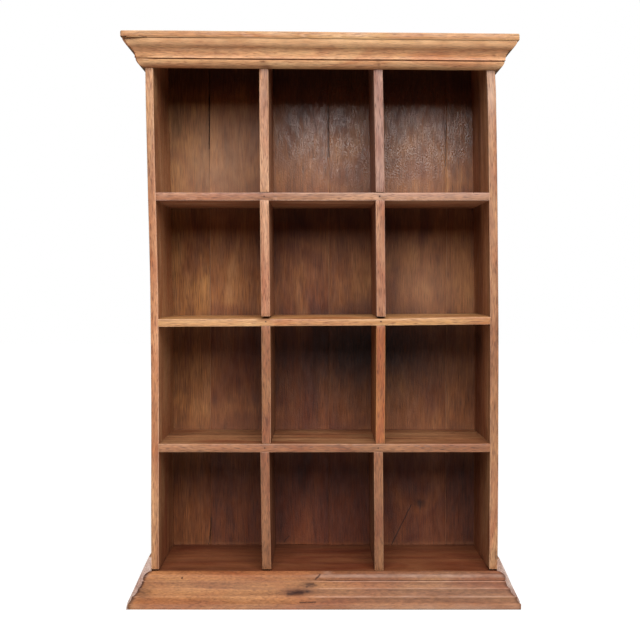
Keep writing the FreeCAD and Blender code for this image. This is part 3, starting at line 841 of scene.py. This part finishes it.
@dataclass
class Carcass:
    """Sides, shelves, dividers, top and bottom boards."""

    front: float = -92.5
    inner: float = 291
    floor: float = 59
    ceiling: float = 988
    divider_thick: float = 16
    column: float = 100
    # Where the boards' patterns of planing and dents start: the first of a kind, and the step to the next.
    side_seeds: Pair = (40, 311)
    shelf_seeds: Pair = (900, 173)
    divider_seeds: Pair = (2000, 97)
    top_seed: float = 3100
    bottom_seed: float = 3300
    # The left side is thinner than the right one.
    left_thin: float = 1.2
    # How far boards go into others: shelves at the left and right, dividers and sides at the top.
    shelf_in: Pair = (2.2, 0.6)
    divider_in: float = 0.8
    side_in: float = 1
    # How far dividers stand back from the front.
    divider_back: float = 0.4
    # Worn feet: gap under the sides, how far in from the front it reaches, how much of the foot is lifted.
    side_foot_gap: float = 2.6
    foot_worn: float = 60
    foot_lifted: float = 3
    # Worn shelf fronts: how far in and how far down they reach, middle and reach of the hollow.
    front_worn: float = 34
    front_lowered: float = 4
    hollow_middle: float = 45
    hollow_reach: float = 130
    # Painted shade at the upper ends of the compartments, on the inner faces of the sides: height and
    # darkness.
    recess_shade: dict[str, tuple[Pair, ...]] = kept({
        "left": ((925, 0.65), (695, 0.4), (475, 0.3), (255, 0.1)),
        "right": ((925, 0.55), (695, 0.4), (460, 0.6), (255, 0.35))})
    rows: dict[str, Pair] = kept({
        "bottom": (59, 270), "third": (285, 493.5), "second": (508.5, 713.5), "top": (728.5, 988)})
    shelf_looks: dict[str, Shelf] = kept({
        "upper": Shelf(TEAK_ROSE, 1.2), "middle": Shelf(TEAK_GOLD, 1.5, 2.2, 4), "lower": Shelf(TEAK_BROWN)})
    divider_looks: dict[str, Divider] = kept({
        "left_top": Divider(0.9, -1.9, TEAK, 0.12), "left_second": Divider(-2.9, -3.3, TEAK, 0.22, 1.4),
        "left_third": Divider(-3, -2.9, TEAK_BROWN, 0.26),
        "left_bottom": Divider(-5.9, -1.8, TEAK_BROWN, 0.55, 2.6),
        "right_top": Divider(0.9, 1.3, TEAK_DUSKY, 0.26),
        "right_second": Divider(0.6, 0.3, TEAK_ROSE, 0.45, 1.2),
        "right_third": Divider(-0.2, -1.8, TEAK_ORANGE, 0.3),
        "right_bottom": Divider(-5.3, -2.9, TEAK_BROWN, 0.3)})

    def build(self) -> None:
        """Build every board of the carcass."""
        self.sides()
        self.shelves()
        self.dividers()
        self.top_and_bottom()

    def edge(self, x: float, z: float, reach: Triple, depth: float) -> Mark:
        """Return a mark on the front edges of boards."""
        return Mark((x, self.front, z), reach, depth)

    def sides(self) -> None:
        """Build the two upright sides, with the gap under their front feet."""
        paler = [self.edge(0, 500, (4000, 60, 4000), -0.42)]
        dusky = self.edge(0, 930, (900, 20, 190), 0.1)
        foot = Mark((-self.inner, 0, 90), (4, 110, 120), 1)
        # Painted shade on the right side's inner face, laid on as stain.
        right_inner_shade = Mark((self.inner, 60, 480), (3, 60, 260), 0.4)
        streak = Mark((self.inner, 15, 860), (6, 8, 80), 0.6)
        bruise = self.edge(self.inner + 15, 86, (6, 14, 8), 0.9)
        aged = self.edge(self.inner + 8, 520, (30, 20, 450), 0.28)
        chalky = self.edge(self.inner + 6, 905, (7, 12, 46), 0.75)
        dull = self.edge(self.inner + 8, 420, (30, 20, 170), 0.4)
        # Painted shade down the right side's inner face, laid on as darkening with age.
        inner_face_shade = Mark((self.inner, 60, 250), (6, 90, 700), 0.9)
        for seed, (side, sign) in zip(count(*self.side_seeds), (("left", -1), ("right", 1))):
            low, high = node_box(f"{side}_side")
            shell = Shell()
            thin = self.left_thin if sign < 0 else 0.0
            top = (high.x - thin, high.y, self.ceiling + self.side_in)
            shell.add_board((low.x, self.front, self.floor), top, ease=1.4)
            self.wear_foot(shell, self.floor, self.side_foot_gap)
            face = sign * self.inner
            # Painted shade at the top of each compartment, laid on as stain.
            shaded = [Mark((face, 65, z), (6, 70, 42), depth) for z, depth in self.recess_shade[side]]
            shell.mark(stain=[dusky, *shaded], wear=paler, patina=[foot])
            if sign > 0:
                shell.mark(stain=[right_inner_shade, streak, bruise, aged], wear=[chalky], patina=[inner_face_shade, dull])
            shell.age(seed)
            shell.finished("worn", f"{side}_side", TEAK_SIDE, Grain.UPRIGHT, Slot.CARCASS)

    def wear_foot(self, shell: Shell, base: float, gap: float) -> None:
        """Lift the front of an upright's foot, where it has worn away.

        Args:
            shell: The upright.
            base: Height that it stands at.
            gap: How far its front edge has come off what carries it.
        """
        for point in shell.points:
            if point.z < base + self.foot_lifted:
                point.z += gap * (1 - smooth_step(self.front, self.front + self.foot_worn, point.y))

    def wear_front(self, shell: Shell, top: float, looks: Shelf) -> None:
        """Lower the upper front edge of a shelf, most where hands have rubbed it, and tilt the shelf.

        Args:
            shell: The shelf.
            top: Height of its upper face.
            looks: How it is worn and tilted.
        """
        for point in shell.points:
            if point.z > top - self.front_lowered:
                hollow = math.exp(-((point.x - self.hollow_middle) / self.hollow_reach) ** 2)
                deep = looks.worn + looks.hollow * hollow
                point.z -= deep * (1 - smooth_step(self.front, self.front + self.front_worn, point.y))
            point.z += looks.rise / 2 * point.x / self.inner

    def shelves(self) -> None:
        """Build the three shelves that run through from side to side."""
        dull = [self.edge(x, z, (wide, 40, tall), depth) for x, z, wide, tall, depth in (
            (250, 390, 170, 190, 0.3), (0, 277, 900, 60, 0.25), (-200, 721, 170, 60, 0.3),
            (200, 721, 120, 60, 0.2), (0, 500, 900, 60, 0.12), (230, 277, 130, 30, 0.2))]
        dull.append(self.edge(-5, 501, (60, 12, 12), 0.3))
        bleached = [self.edge(200, 721, (120, 10, 14), 0.3), self.edge(-215, 501, (80, 10, 14), 0.15)]
        chips = [self.edge(-107, 508, (11, 6, 6), 3), self.edge(104, 497, (3, 5, 9), 1.6),
                 self.edge(101, 720, (4, 5, 5), 2)]
        dirty = [replace(chip, depth=0.5) for chip in chips]
        for seed, (name, looks) in zip(count(*self.shelf_seeds), self.shelf_looks.items()):
            low, high = node_box(f"{name}_shelf")
            shell = Shell()
            left, right = -self.inner - self.shelf_in[0], self.inner + self.shelf_in[1]
            shell.add_board((left, self.front, low.z), (right, high.y, high.z), ease=1.3, step=7)
            self.wear_front(shell, high.z, looks)
            shell.mark(stain=dirty, wear=bleached, patina=dull)
            shell.age(seed, chips=chips)
            shell.finished("worn", f"{name}_shelf", looks.finish, Grain.ACROSS, Slot.CARCASS)

    def dividers(self) -> None:
        """Build the eight short dividers, each with its own lean."""
        half = self.divider_thick / 2
        for seed, (name, looks) in zip(count(*self.divider_seeds), self.divider_looks.items()):
            side, row = name.split("_")
            middle = self.column if side == "right" else -self.column
            base, top = self.rows[row]
            shell = Shell()
            foot = (middle - half, self.front + self.divider_back, base)
            shell.add_board(foot, (middle + half, BACK_FACE, top + self.divider_in), ease=1.3)
            self.wear_foot(shell, base, looks.gap)
            for point in shell.points:
                point.x += looks.foot + (looks.head - looks.foot) * ((point.z - base) / (top - base))
            shell.mark(patina=[Mark((middle, 0, base), (2000, 2000, 2000), looks.patina)])
            shell.age(seed)
            shell.finished("worn", f"{name}_divider", looks.finish, Grain.UPRIGHT, Slot.CARCASS)

    def top_and_bottom(self) -> None:
        """Build the overhanging top board and the bottom board."""
        low, high = node_box("top_board")
        top = Shell()
        top.add_board(low, high, ease=2.2, step=9)
        top.age(self.top_seed, wobble=0.6, chips=[Mark((low.x, 0, low.z), (7, 400, 6), 5)])
        top.finished("worn", "top_board", TOP_BOARD, Grain.ACROSS, Slot.CARCASS)
        low, high = node_box("bottom_board")
        bottom = Shell()
        bottom.add_board(low, high, ease=0.8, step=9)
        bottom.mark(patina=[Mark((0, 0, high.z), (2000, 2000, 40), 0.85)])
        bottom.age(self.bottom_seed)
        bottom.finished("worn", "bottom_board", TEAK_FLOOR, Grain.ACROSS, Slot.CARCASS)


@dataclass
class BackBoards:
    """Four upright boards whose seams have opened a little at their ends."""

    floor: float = 59
    ceiling: float = 988
    seams: tuple[float, ...] = (-298.5, -216, 14, 241, 298.5)
    # Number of the last board, counted from 0 at the left.
    last: int = 3
    # Where the first board's pattern of planing starts, and the step to the next.
    first_seed: float = 4000
    seed_step: float = 57
    # Radius of the arrises, and distance between the points in front and behind.
    ease: float = 0.7
    step: float = 7
    rear_step: float = 14
    seam_gap: float = 0.12
    lap: float = 7
    lap_gap: float = 1
    # The seam that has opened, how far, and the heights over which it does.
    open_seam: int = 1
    open_top: float = 3
    open_foot: float = 2.8
    top_zone: Pair = (770, 940)
    foot_zone: Pair = (60, 135)
    # Two small spots are real dirt; the others are painted shade under the top board and the shelves and
    # lower in the bottom two rows.
    stains_and_shade: tuple[Mark, ...] = back_spots(
        (-277, 886, 11, 46, 0.5), (192, 141, 9, 7, 0.95), (0, 968, 900, 42, 0.75), (90, 450, 180, 75, 0.8),
        (120, 390, 170, 110, 0.3), (0, 190, 900, 55, 0.2), (60, 690, 200, 45, 0.42), (-200, 470, 90, 40, 0.2))
    rubs: tuple[Mark, ...] = back_spots(
        (-200, 800, 95, 95, 0.5), (100, 780, 170, 60, 0.2), (200, 560, 80, 60, 0.3),
        (-190, 310, 80, 50, 0.12), (0, 58, 900, 5, 0.6), (0, 262, 900, 30, 0.2))
    # Painted shade: darker towards the bottom, down the middle column and under the upper and middle shelves.
    patinas_and_shade: tuple[Mark, ...] = back_spots(
        (0, 120, 900, 250, 0.9), (0, 480, 95, 520, 0.3), (0, 700, 900, 36, 0.4), (0, 465, 900, 50, 0.5))
    glosses: tuple[Mark, ...] = back_spots((115, 865, 190, 90, 2.2), (100, 640, 200, 60, 0.2))

    def plumb(self, number: int, share: float, height: float) -> float:
        """Return how far a board shifts at a share and a height, so that its seams stay plumb."""
        weight = (1 - share if number else 0.0) + (share if number < self.last else 0.0)
        return -weight * SETTLING.racked(height)

    def opening(self, number: int, height: float) -> float:
        """Work out how wide a seam stands open at a height.

        Args:
            number: Which edge, from the left; the outer two are no seams.
            height: Height above the floor.

        Returns:
            Width in millimetres.
        """
        if number in (0, self.last + 1):
            return 0.0
        if number != self.open_seam:
            return self.seam_gap
        top = self.open_top * smooth_step(*self.top_zone, height)
        return self.seam_gap + (top + self.open_foot * (1 - smooth_step(*self.foot_zone, height)))

    def build(self) -> None:
        """Build the boards."""
        for number, (left, right) in enumerate(zip(self.seams, self.seams[1:])):
            node = f"back_board_{number + 1}"
            low, high = node_box(node)
            shell = Shell()
            half_way = (low.y + high.y) / 2
            lap_left = left + self.lap + self.lap_gap if number else left
            lap_right = right + self.lap if number < self.last else right
            face = (right, half_way, self.ceiling)
            shell.add_board((left, low.y, self.floor), face, self.ease, self.step)
            for point in shell.points:
                share = (point.x - left) / (right - left)
                near, far = (self.opening(edge, point.z) / 2 for edge in (number, number + 1))
                point.x += near * (1 - share) - far * share
            rear = (lap_right, high.y, self.ceiling)
            shell.add_board((lap_left, half_way, self.floor), rear, self.ease, self.rear_step)
            for point in shell.points:
                share = min(1.0, max(0.0, (point.x - left) / (right - left)))
                point.x += self.plumb(number, share, point.z)
            shell.age(self.first_seed + number * self.seed_step, wobble=0.6, nick=0.6)
            # Most of the stains and all of the patinas on the back are painted shade.
            shell.mark(stain=self.stains_and_shade, wear=self.rubs, patina=self.patinas_and_shade, gloss=self.glosses)
            shell.finished("worn", node, BACK_GLOSSY if number else BACK_DRY, Grain.UPRIGHT, Slot.BACK)


@dataclass
class Moulding:
    """What runs round the front and sides of the carcass, mitred at the two front corners."""

    half: float = 306
    front: float = -92.5
    rear: float = 129.5

    def ring(self, line: list[Station], share: float) -> list[Vector]:
        """Return the outline across the front, from -1 at the left mitre to 1 at the right one."""
        return [Vector(((self.half + s.out) * share, self.front - s.out, s.height)) for s in line]

    def side_rings(self, line: list[Station], sign: int, step: float) -> list[list[Vector]]:
        """Lay the outline along one side.

        Args:
            line: The outline.
            sign: -1 for the left side, 1 for the right.
            step: Distance from ring to ring.

        Returns:
            The rings from the wall to the mitre.
        """
        depth = self.rear - self.front
        parts = round(depth / step)
        return [[Vector((sign * (self.half + s.out), self.rear - (depth + s.out) * k / parts, s.height))
                 for s in line] for k in range(parts + 1)]


@dataclass
class Cornice(Moulding):
    """Ogee moulding under the top board, mitred round the two front corners, its left end rubbed soft."""

    base: float = 943
    height: float = 45
    out: float = 34.5
    step: float = 4
    soft_times: int = 3
    left_share: float = 0.89
    crisp_from: float = -0.86
    mitre_dirt: float = 0.85
    seeds: dict[str, float] = kept({"front": 5155, "left": 5124, "right": 5155})
    stains_and_shade: tuple[Mark, ...] = spots(
        (-99, -105, 952.8, 5, 2.2, 0.9), (-93, -98, 945.5, 9, 1.8, 0.8), (99.2, -105, 956, 4, 2, 0.85),
        (100.8, -103, 949.6, 3, 2, 0.85), (301, -110, 966.5, 2.8, 1.8, 0.95),
        (-249, -108, 962, 2.2, 1.4, 0.8))

    def at(self, out: float, rise: float, rub_and_highlight: float = 0.0, dirt_and_shade: float = 0.0) -> Station:
        """Place a corner by its shares of the moulding's projection and height."""
        return Station(self.out * out, self.base + self.height * rise, rub_and_highlight, dirt_and_shade)

    def profile(self) -> list[Station]:
        """Draw the moulding.

        Returns:
            Its outline from the lower edge up and back along the carcass.
        """
        at = self.at
        # Dirt in the quirk is painted shade; the crown's rub, spread over its upper round, is partly wear and
        # partly painted highlight.
        lip, bead, quirk = at(0.06, 0, 0, 0.15), at(0.42, 0.268, 0.35), at(0.375, 0.284, 0, 0.95)
        hollow, turn, crown = at(0.46, 0.328, 0.15), at(0.68, 0.69), at(1, 1, 1)
        line = [at(-0.05, 0, 0, 0.3), lip, *curved(lip, bead, 16, -1)]
        line += [quirk, at(0.385, 0.304, 0, 0.9), hollow]
        line += curved(hollow, turn, 17, 1) + curved(turn, crown, 20, -1, 0.7)
        return [*line, at(0.97, 1, 0, 0.9), at(-0.05, 1, 0, 0.9)]

    def build(self) -> None:
        """Build the front moulding and its two returns."""
        crisp = self.profile()
        soft = [replace(s, out=s.out * self.left_share) for s in softened(crisp, self.soft_times)]
        parts = round(2 * self.half / self.step)
        rings, tags = [], []
        for k in range(parts, -1, -1):
            share = 2 * k / parts - 1
            blend = smooth_step(-1, self.crisp_from, share)
            tags.append([a.towards(b, blend) for a, b in zip(soft, crisp)])
            rings.append(self.ring(tags[-1], share))
        front = Shell()
        front.add_sweep(rings, tags)
        front.mark(stain=self.stains_and_shade)
        self.finish(front, "front", Grain.ACROSS)
        mitred = [replace(s, dirt_and_shade=self.mitre_dirt) for s in crisp]
        for side, sign in (("left", -1), ("right", 1)):
            shell = Shell()
            rings = self.side_rings(crisp, sign, self.step)
            tags = [crisp] * (len(rings) - 1) + [mitred]
            shell.add_sweep(rings[::sign], tags[::sign])
            self.finish(shell, side, Grain.DEEP)

    def finish(self, shell: Shell, place: str, grain: Grain) -> None:
        """Age one length of the moulding and make it."""
        shell.age(self.seeds[place], nick=1)
        shell.finished("worn", f"cornice_{place}", MOULDED, grain, Slot.MOULDING)


@dataclass
class Skirting(Moulding):
    """Moulded front skirting, worn smooth on its left half, and the raked side skirtings."""

    height: float = 59
    out: float = 37
    step: float = 2.5
    side_step: float = 6
    seeds: dict[str, float] = kept({"front": 6100, "left": 6460, "right": 6540})
    soft_times: int = 14
    flatness: float = 0.8
    # Points of the bead that are rubbed most and carry a painted highlight, and how much.
    crest: tuple[int, int] = (3, 4)
    crest_rub_and_highlight: float = 0.85
    # What is left of rub and dirt where the moulding is worn, and on its foot.
    worn_rub: float = 0.15
    foot_rub: float = 1.3
    worn_dirt: float = 0.2
    # How crisp it still is at the left mitre, and the share of the half width where it is fully worn.
    end_crisp: float = 0.85
    worn_from: float = -0.97
    # Places across: as far as it is fully worn, and from where it is crisp again.
    worn_until: float = -45
    crisp_from: float = 15
    # Dirt at the left and right mitre, and how far it reaches.
    end_depths: Pair = (0.9, 0.5)
    end_dirt: float = 4
    stains_and_shade: tuple[Mark, ...] = spots(
        (-47, -118, 27, 19, 5, 0.95), (-24, -112, 38.6, 9, 3.6, 1), (-28, -116, 29.5, 3.4, 2.2, 0.8),
        (-36, -112, 37, 22, 9, 0.32), (190, -112, 31, 185, 21, 0.25), (190, -128, 10, 190, 6, 0.14),
        (-170, -128, 11, 150, 5, 0.06), (-318, -118, 27, 15, 9, 0.6))
    patinas_and_shade: tuple[Mark, ...] = spots(
        (-170, -100, 57, 160, 6, 0.55), (190, -112, 31, 185, 21, 0.08), (190, -127, 13, 190, 5, 0.3))
    rubs: tuple[Mark, ...] = spots(
        (6, -100, 56, 8, 6, 0.7), (210, -112, 30, 190, 60, 0.36), (180, -129, 2.5, 190, 3.5, 0.2),
        (-180, -112, 38, 150, 12, 0.15))
    # Outlines of the raked boards: how far out, how high, how rubbed.
    rakes: dict[str, tuple[Triple, ...]] = kept({
        "left": ((-0.3, 0, 0), (38.6, 0, 0.6), (38.3, 5, 0.3), (36.4, 13, 0.3), (25.4, 37, 0.1),
                 (15.2, 60.5, 0.1), (4.4, 84.5, 0.8), (-0.3, 84.5, 0)),
        "right": ((-0.3, 0, 0), (37, 0, 0.6), (36.4, 8, 0.3), (34.4, 16, 0.3), (23.2, 39, 0.1),
                  (12, 62.5, 0.1), (3.4, 81, 0.8), (-0.3, 81, 0))})

    def at(self, out: float, drop: float, rub_and_highlight: float = 0.0, dirt_and_shade: float = 0.0) -> Station:
        """Place a corner by its shares of the moulding's projection and height."""
        return Station(self.out * out, self.height * (1 - drop), rub_and_highlight, dirt_and_shade)

    def crisp(self) -> list[Station]:
        """Draw the moulding as it was planed.

        Returns:
            Its outline from the back of its top edge down to the floor.
        """
        at = self.at
        # Rub on the bead's crest, the brow, the ridge and the ledge is partly wear and partly painted
        # highlight; dirt in the quirk and the hollows is painted shade, and dirt along the bottom edge is a
        # painted contact shadow.
        lip, bead, quirk = at(0.03, 0, 0, 0.45), at(0.35, 0.216, 0.1), at(0.318, 0.236, 0, 0.62)
        brow, hollow, ridge = at(0.366, 0.256, 0.6), at(0.38, 0.276, 0, 0.15), at(0.54, 0.446, 0.6)
        cove, ledge = at(0.557, 0.464, 0.1, 0.3), at(0.812, 0.646, 1)
        sweep, foot = at(0.834, 0.67, 0.1, 0.32), at(0.978, 0.824, 0.15)
        round_bead = curved(lip, bead, 11, 1)
        for k in self.crest:
            round_bead[k] = replace(round_bead[k], rub_and_highlight=self.crest_rub_and_highlight)
        line = [at(-0.01, 0, 0, 0.5), lip, *round_bead, quirk, brow, hollow]
        line += [*curved(hollow, ridge, 12, -1), cove, *curved(cove, ledge, 12, -1)]
        line += [sweep, *curved(sweep, foot, 10, -1)]
        return [*line, at(1, 0.844, 0.2), at(1, 0.97, 0.25), at(0.99, 1, 0, 0.8), at(-0.01, 1, 0, 0.8)]

    def worn(self, crisp: list[Station]) -> list[Station]:
        """Wear the moulding almost flat, as feet and brooms have.

        Args:
            crisp: The moulding as it was planed.

        Returns:
            As many stations, drawn towards the line from the bead to the foot.
        """
        soft = softened(crisp, self.soft_times)
        # From the crest of the bead to the last station above the foot.
        first, last = 2 + self.crest[1], len(soft) - 5
        fall = (soft[last].out - soft[first].out) / (soft[last].height - soft[first].height)
        line = []
        for number, (station, planed) in enumerate(zip(soft, crisp)):
            out = station.out
            if first < number < last:
                flat = soft[first].out + fall * (station.height - soft[first].height)
                out += self.flatness * (flat - out)
            rub_and_highlight = (self.worn_rub if number < last else self.foot_rub) * planed.rub_and_highlight
            line.append(Station(out, station.height, rub_and_highlight, self.worn_dirt * planed.dirt_and_shade))
        return line

    def build(self) -> None:
        """Build the front skirting and both side skirtings."""
        crisp = self.crisp()
        worn = self.worn(crisp)
        parts = round(2 * self.half / self.step)
        rings, tags = [], []
        for k in range(parts + 1):
            share = 2 * k / parts - 1
            blend = smooth_step(self.worn_until, self.crisp_from, share * self.half)
            blend = max(blend, self.end_crisp * (1 - smooth_step(-1, self.worn_from, share)))
            line = [a.towards(b, blend) for a, b in zip(worn, crisp)]
            rings.append(self.ring(line, share))
            from_end = (1 - abs(share)) * self.half
            end = self.end_depths[share > 0] * math.exp(-(from_end / self.end_dirt) ** 2)
            tags.append([replace(s, dirt_and_shade=min(1.0, s.dirt_and_shade + end)) for s in line])
        shell = Shell()
        shell.add_sweep(rings, tags)
        shell.mark(stain=self.stains_and_shade, wear=self.rubs, patina=self.patinas_and_shade)
        shell.age(self.seeds["front"], nick=0.8)
        shell.finished("worn", "front_skirting", SKIRTING, Grain.ACROSS, Slot.MOULDING)
        self.sides()

    def sides(self) -> None:
        """Build the raked boards along the two sides."""
        for side, sign in (("left", -1), ("right", 1)):
            line = [Station(*corner) for corner in self.rakes[side]]
            rings = self.side_rings(line, sign, self.side_step)
            shell = Shell()
            shell.add_sweep(rings[::sign], [line] * len(rings))
            shell.age(self.seeds[side], wobble=0.6, nick=1)
            shell.finished("worn", f"{side}_skirting", SIDE_SKIRTING, Grain.DEEP, Slot.SKIRTING, END_GRAIN)


@dataclass
class Nails:
    """Hand-cut nails, each with a low uneven head, where the CAD has them."""

    head: float = 1.5
    crown: float = 0.4
    # Rings of the head: share of its radius, and depth below the surface.
    head_rings: tuple[Pair, ...] = ((0.62, -0.34), (1, -0.08), (1, 0.9))
    neck: float = 1.2
    neck_depth: float = 1.4
    point: float = 0.5
    point_length: float = 1
    sides: int = 9
    # How unevenly the head's corners are turned and drawn out.
    turn_stray: float = 0.2
    reach_stray: Pair = (0.85, 1.1)
    # Heads in filled holes: how deep, and where in the front skirting and in the front of the cornice.
    sunk: float = 3
    front: float = -93
    skirting_filled_from: float = -200
    cornice_filled_beyond: float = 250
    # Depth of the heads in the left and right skirting.
    side_sunk: Pair = (3.4, 0.8)
    groups: tuple[str, ...] = ("shelf_nails", "top_nails", "bottom_nails", "cornice_nails", "skirting_nails",
                               "back_nails", "crossing_pins")

    def places(self, node: str) -> list[tuple[Vector, Vector]]:
        """Find each nail of a group.

        Args:
            node: The CAD node that holds the group.

        Returns:
            The middle of each nail's head and the way to its point, in millimetres.
        """
        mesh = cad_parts[node].data
        names = [tuple(round(c / MM, 2) for c in v.co) for v in mesh.vertices]
        owner = {name: name for name in names}

        def root(name: tuple[float, ...]) -> tuple[float, ...]:
            """Return the corner that stands for a corner's nail."""
            return name if owner[name] == name else root(owner[name])

        for polygon in mesh.polygons:
            corners = [names[k] for k in polygon.vertices]
            for corner in corners[1:]:
                owner[root(corner)] = root(corners[0])
        nails: dict[tuple[float, ...], list[Vector]] = {}
        for name in sorted(owner):
            nails.setdefault(root(name), []).append(Vector(name))
        return [self.ends(corners) for corners in nails.values()]

    def ends(self, corners: list[Vector]) -> tuple[Vector, Vector]:
        """Tell a nail's head from its point.

        Args:
            corners: The nail's corners.

        Returns:
            The middle of its wider end and the way from it to the other end.
        """
        spans = [max(c[k] for c in corners) - min(c[k] for c in corners) for k in range(3)]
        axis = spans.index(max(spans))
        half_way = sum(c[axis] for c in corners) / len(corners)
        halves = [[c for c in corners if (c[axis] >= half_way) == far] for far in (False, True)]
        middles = [sum(half, Vector()) / len(half) for half in halves]
        spreads = [sum((c - m).length for c in half) / len(half) for half, m in zip(halves, middles)]
        wide = spreads.index(max(spreads))
        return middles[wide], middles[1 - wide] - middles[wide]

    def build(self) -> None:
        """Build every group of nails as one piece."""
        for group in self.groups:
            picked = random.Random(group)
            shell = Shell()
            for top, way in self.places(group):
                self.add_nail(shell, top, way, picked, self.sinking(group, top))
            shell.finished("iron", group, IRON, Grain.UPRIGHT, Slot.NAIL)

    def sinking(self, group: str, top: Vector) -> float:
        """Work out how far below the CAD's surface a head lies: deep where its hole was filled.

        Args:
            group: The group that the nail belongs to.
            top: The middle of its head.

        Returns:
            Depth in millimetres.
        """
        in_front = top.y < self.front
        if group == "skirting_nails" and not in_front:
            return self.side_sunk[top.x > 0]
        filled = {"skirting_nails": top.x > self.skirting_filled_from,
                  "cornice_nails": in_front and abs(top.x) > self.cornice_filled_beyond}
        return self.sunk if filled.get(group) else 0.0

    def add_nail(self, shell: Shell, top: Vector, way: Vector, picked: random.Random, deep: float) -> None:
        """Add one nail.

        Args:
            shell: The group that it belongs to.
            top: The middle of its head.
            way: From its head to its point.
            picked: Source of the head's unevenness.
            deep: How far below the surface it was punched.
        """
        into = way.normalized()
        across = into.orthogonal().normalized()
        up = into.cross(across)
        top = top + into * deep
        stray = self.turn_stray
        turns = [math.tau * (k + picked.uniform(-stray, stray)) / self.sides for k in range(self.sides)]
        reach = [picked.uniform(*self.reach_stray) for _ in turns]
        spokes = [across * math.cos(turn) + up * math.sin(turn) for turn in turns]
        rings = [[shell.add_point(top + into * down + spoke * self.head * wide * r)
                  for spoke, r in zip(spokes, reach)] for wide, down in self.head_rings]
        length = way.length - self.sunk
        shank = ((self.neck, self.neck_depth), (self.point, length - self.point_length))
        rings += [[shell.add_point(top + into * down + spoke * wide) for spoke in spokes]
                  for wide, down in shank]
        crown = shell.add_point(top - into * self.crown)
        tip = shell.add_point(top + into * length)
        for k in range(self.sides):
            after = (k + 1) % self.sides
            shell.faces.append((crown, rings[0][after], rings[0][k]))
            shell.faces.append((tip, rings[-1][k], rings[-1][after]))
            for near, far in zip(rings, rings[1:]):
                shell.faces.append((near[after], far[after], far[k], near[k]))


@dataclass
class Plinth:
    """Rough frame of four rails under the bottom board."""

    ease: float = 1
    step: float = 20
    seeds: Pair = (7000, 23)

    def build(self) -> None:
        """Build the rails in the places of the CAD ones."""
        for seed, place in zip(count(*self.seeds), ("front", "back", "left", "right")):
            node = f"plinth_{place}_rail"
            shell = Shell()
            shell.add_board(*node_box(node), self.ease, self.step)
            shell.age(seed)
            grain = Grain.ACROSS if place in ("front", "back") else Grain.DEEP
            shell.finished("sawn", node, ROUGH, grain, Slot.PLINTH)


@dataclass
class Studio:
    """Camera at the photograph's angle, plain pale floor and soft light."""

    lens: float = 65.6
    sensor: float = 36
    camera_place: Triple = (-0.0034, -2.1445, 0.5637)
    pitch: float = 1.673
    softbox_place: Triple = (0.2, -2.8, 2.7)
    softbox_size: Pair = (3.1, 3.1)
    softbox_power: float = 245
    bounce_place: Triple = (0, -0.55, 0.02)
    bounce_size: Pair = (1.4, 0.4)
    bounce_power: float = 4.4
    room_light: float = 0.03
    room_sheen: float = 0.09
    floor_half: float = 9
    # The floor's glow rises over these distances from the shelf, in metres.
    glow_range: Pair = (0.4, 2.5)
    glow: Pair = (0.9, 1.05)

    def build(self) -> None:
        """Set the camera, the floor, the lights and the surroundings."""
        lens = bpy.data.cameras.new("camera")
        lens.lens = self.lens
        lens.sensor_width = self.sensor
        camera = add_object("camera", lens)
        camera.location = self.camera_place
        camera.rotation_euler = (math.radians(90 - self.pitch), 0, 0)
        bpy.context.scene.camera = camera
        bpy.context.scene.view_settings.view_transform = "Standard"
        self.floor()
        self.light("softbox", self.softbox_place, (0, 0, 1), self.softbox_size, self.softbox_power)
        x, y, _ = self.bounce_place
        self.light("floor_bounce", self.bounce_place, (x, y, 1), self.bounce_size, self.bounce_power)
        self.surroundings()

    def light(self, name: str, place: Triple, aim: Triple, size: Pair, power: float) -> None:
        """Add one soft light.

        Args:
            name: Its name.
            place: Where it hangs, in metres.
            aim: The point that it faces.
            size: Its width and height.
            power: Its power in watts.
        """
        lamp = bpy.data.lights.new(name, "AREA")
        lamp.shape = "RECTANGLE"
        lamp.size, lamp.size_y = size
        lamp.energy = power
        stand = add_object(name, lamp)
        stand.location = place
        stand.rotation_euler = (Vector(aim) - Vector(place)).to_track_quat("-Z", "Y").to_euler()

    def floor(self) -> None:
        """Lay a wide pale floor that takes a faint shadow and throws no light back up."""
        far = self.floor_half
        mesh = bpy.data.meshes.new("floor")
        corners = [(-far, -far, 0), (far, -far, 0), (far, far, 0), (-far, far, 0)]
        mesh.from_pydata(corners, [], [(0, 1, 2, 3)])
        # Matt white paper, lit from below so that its shadows stay faint.
        paper, tree, shader = new_material("white_paper_matt")
        place = add_node(tree, "TexCoord").outputs["Object"]
        away = add_node(tree, "VectorMath", (place,), operation="LENGTH").outputs["Value"]
        glow = add_node(tree, "MapRange", (away, *self.glow_range, *self.glow)).outputs[0]
        fill(tree, shader, {
            "Base Color": linear("#808080"), "Roughness": 1, "Emission Color": linear(WHITE),
            "Emission Strength": glow})
        mesh.materials.append(paper)
        floor = add_object("floor", mesh)
        floor.visible_diffuse = False
        floor.visible_glossy = False

    def surroundings(self) -> None:
        """Make the background white, and the room's own light weak."""
        world = bpy.data.worlds.new("studio")
        world.use_nodes = True
        bpy.context.scene.world = world
        tree = world.node_tree
        tree.nodes.clear()
        room, sheen, white = (
            add_node(tree, "Background", {"Color": linear(WHITE), "Strength": strength}).outputs[0]
            for strength in (self.room_light, self.room_sheen, 1))
        seen = add_node(tree, "LightPath").outputs
        lit = add_node(tree, "MixShader", (seen["Is Glossy Ray"], room, sheen)).outputs[0]
        shown = add_node(tree, "MixShader", (seen["Is Camera Ray"], lit, white)).outputs[0]
        add_node(tree, "OutputWorld", {"Surface": shown})


def main() -> None:
    """Build the studio, then every piece of the shelf."""
    logging.basicConfig(level=logging.INFO, format="%(name)s %(message)s")
    noise.seed_set(PLANING_SEED)
    for assembly in (Studio(), Carcass(), BackBoards(), Cornice(), Skirting(), Plinth(), Nails()):
        assembly.build()


if __name__ == "__main__":
    main()
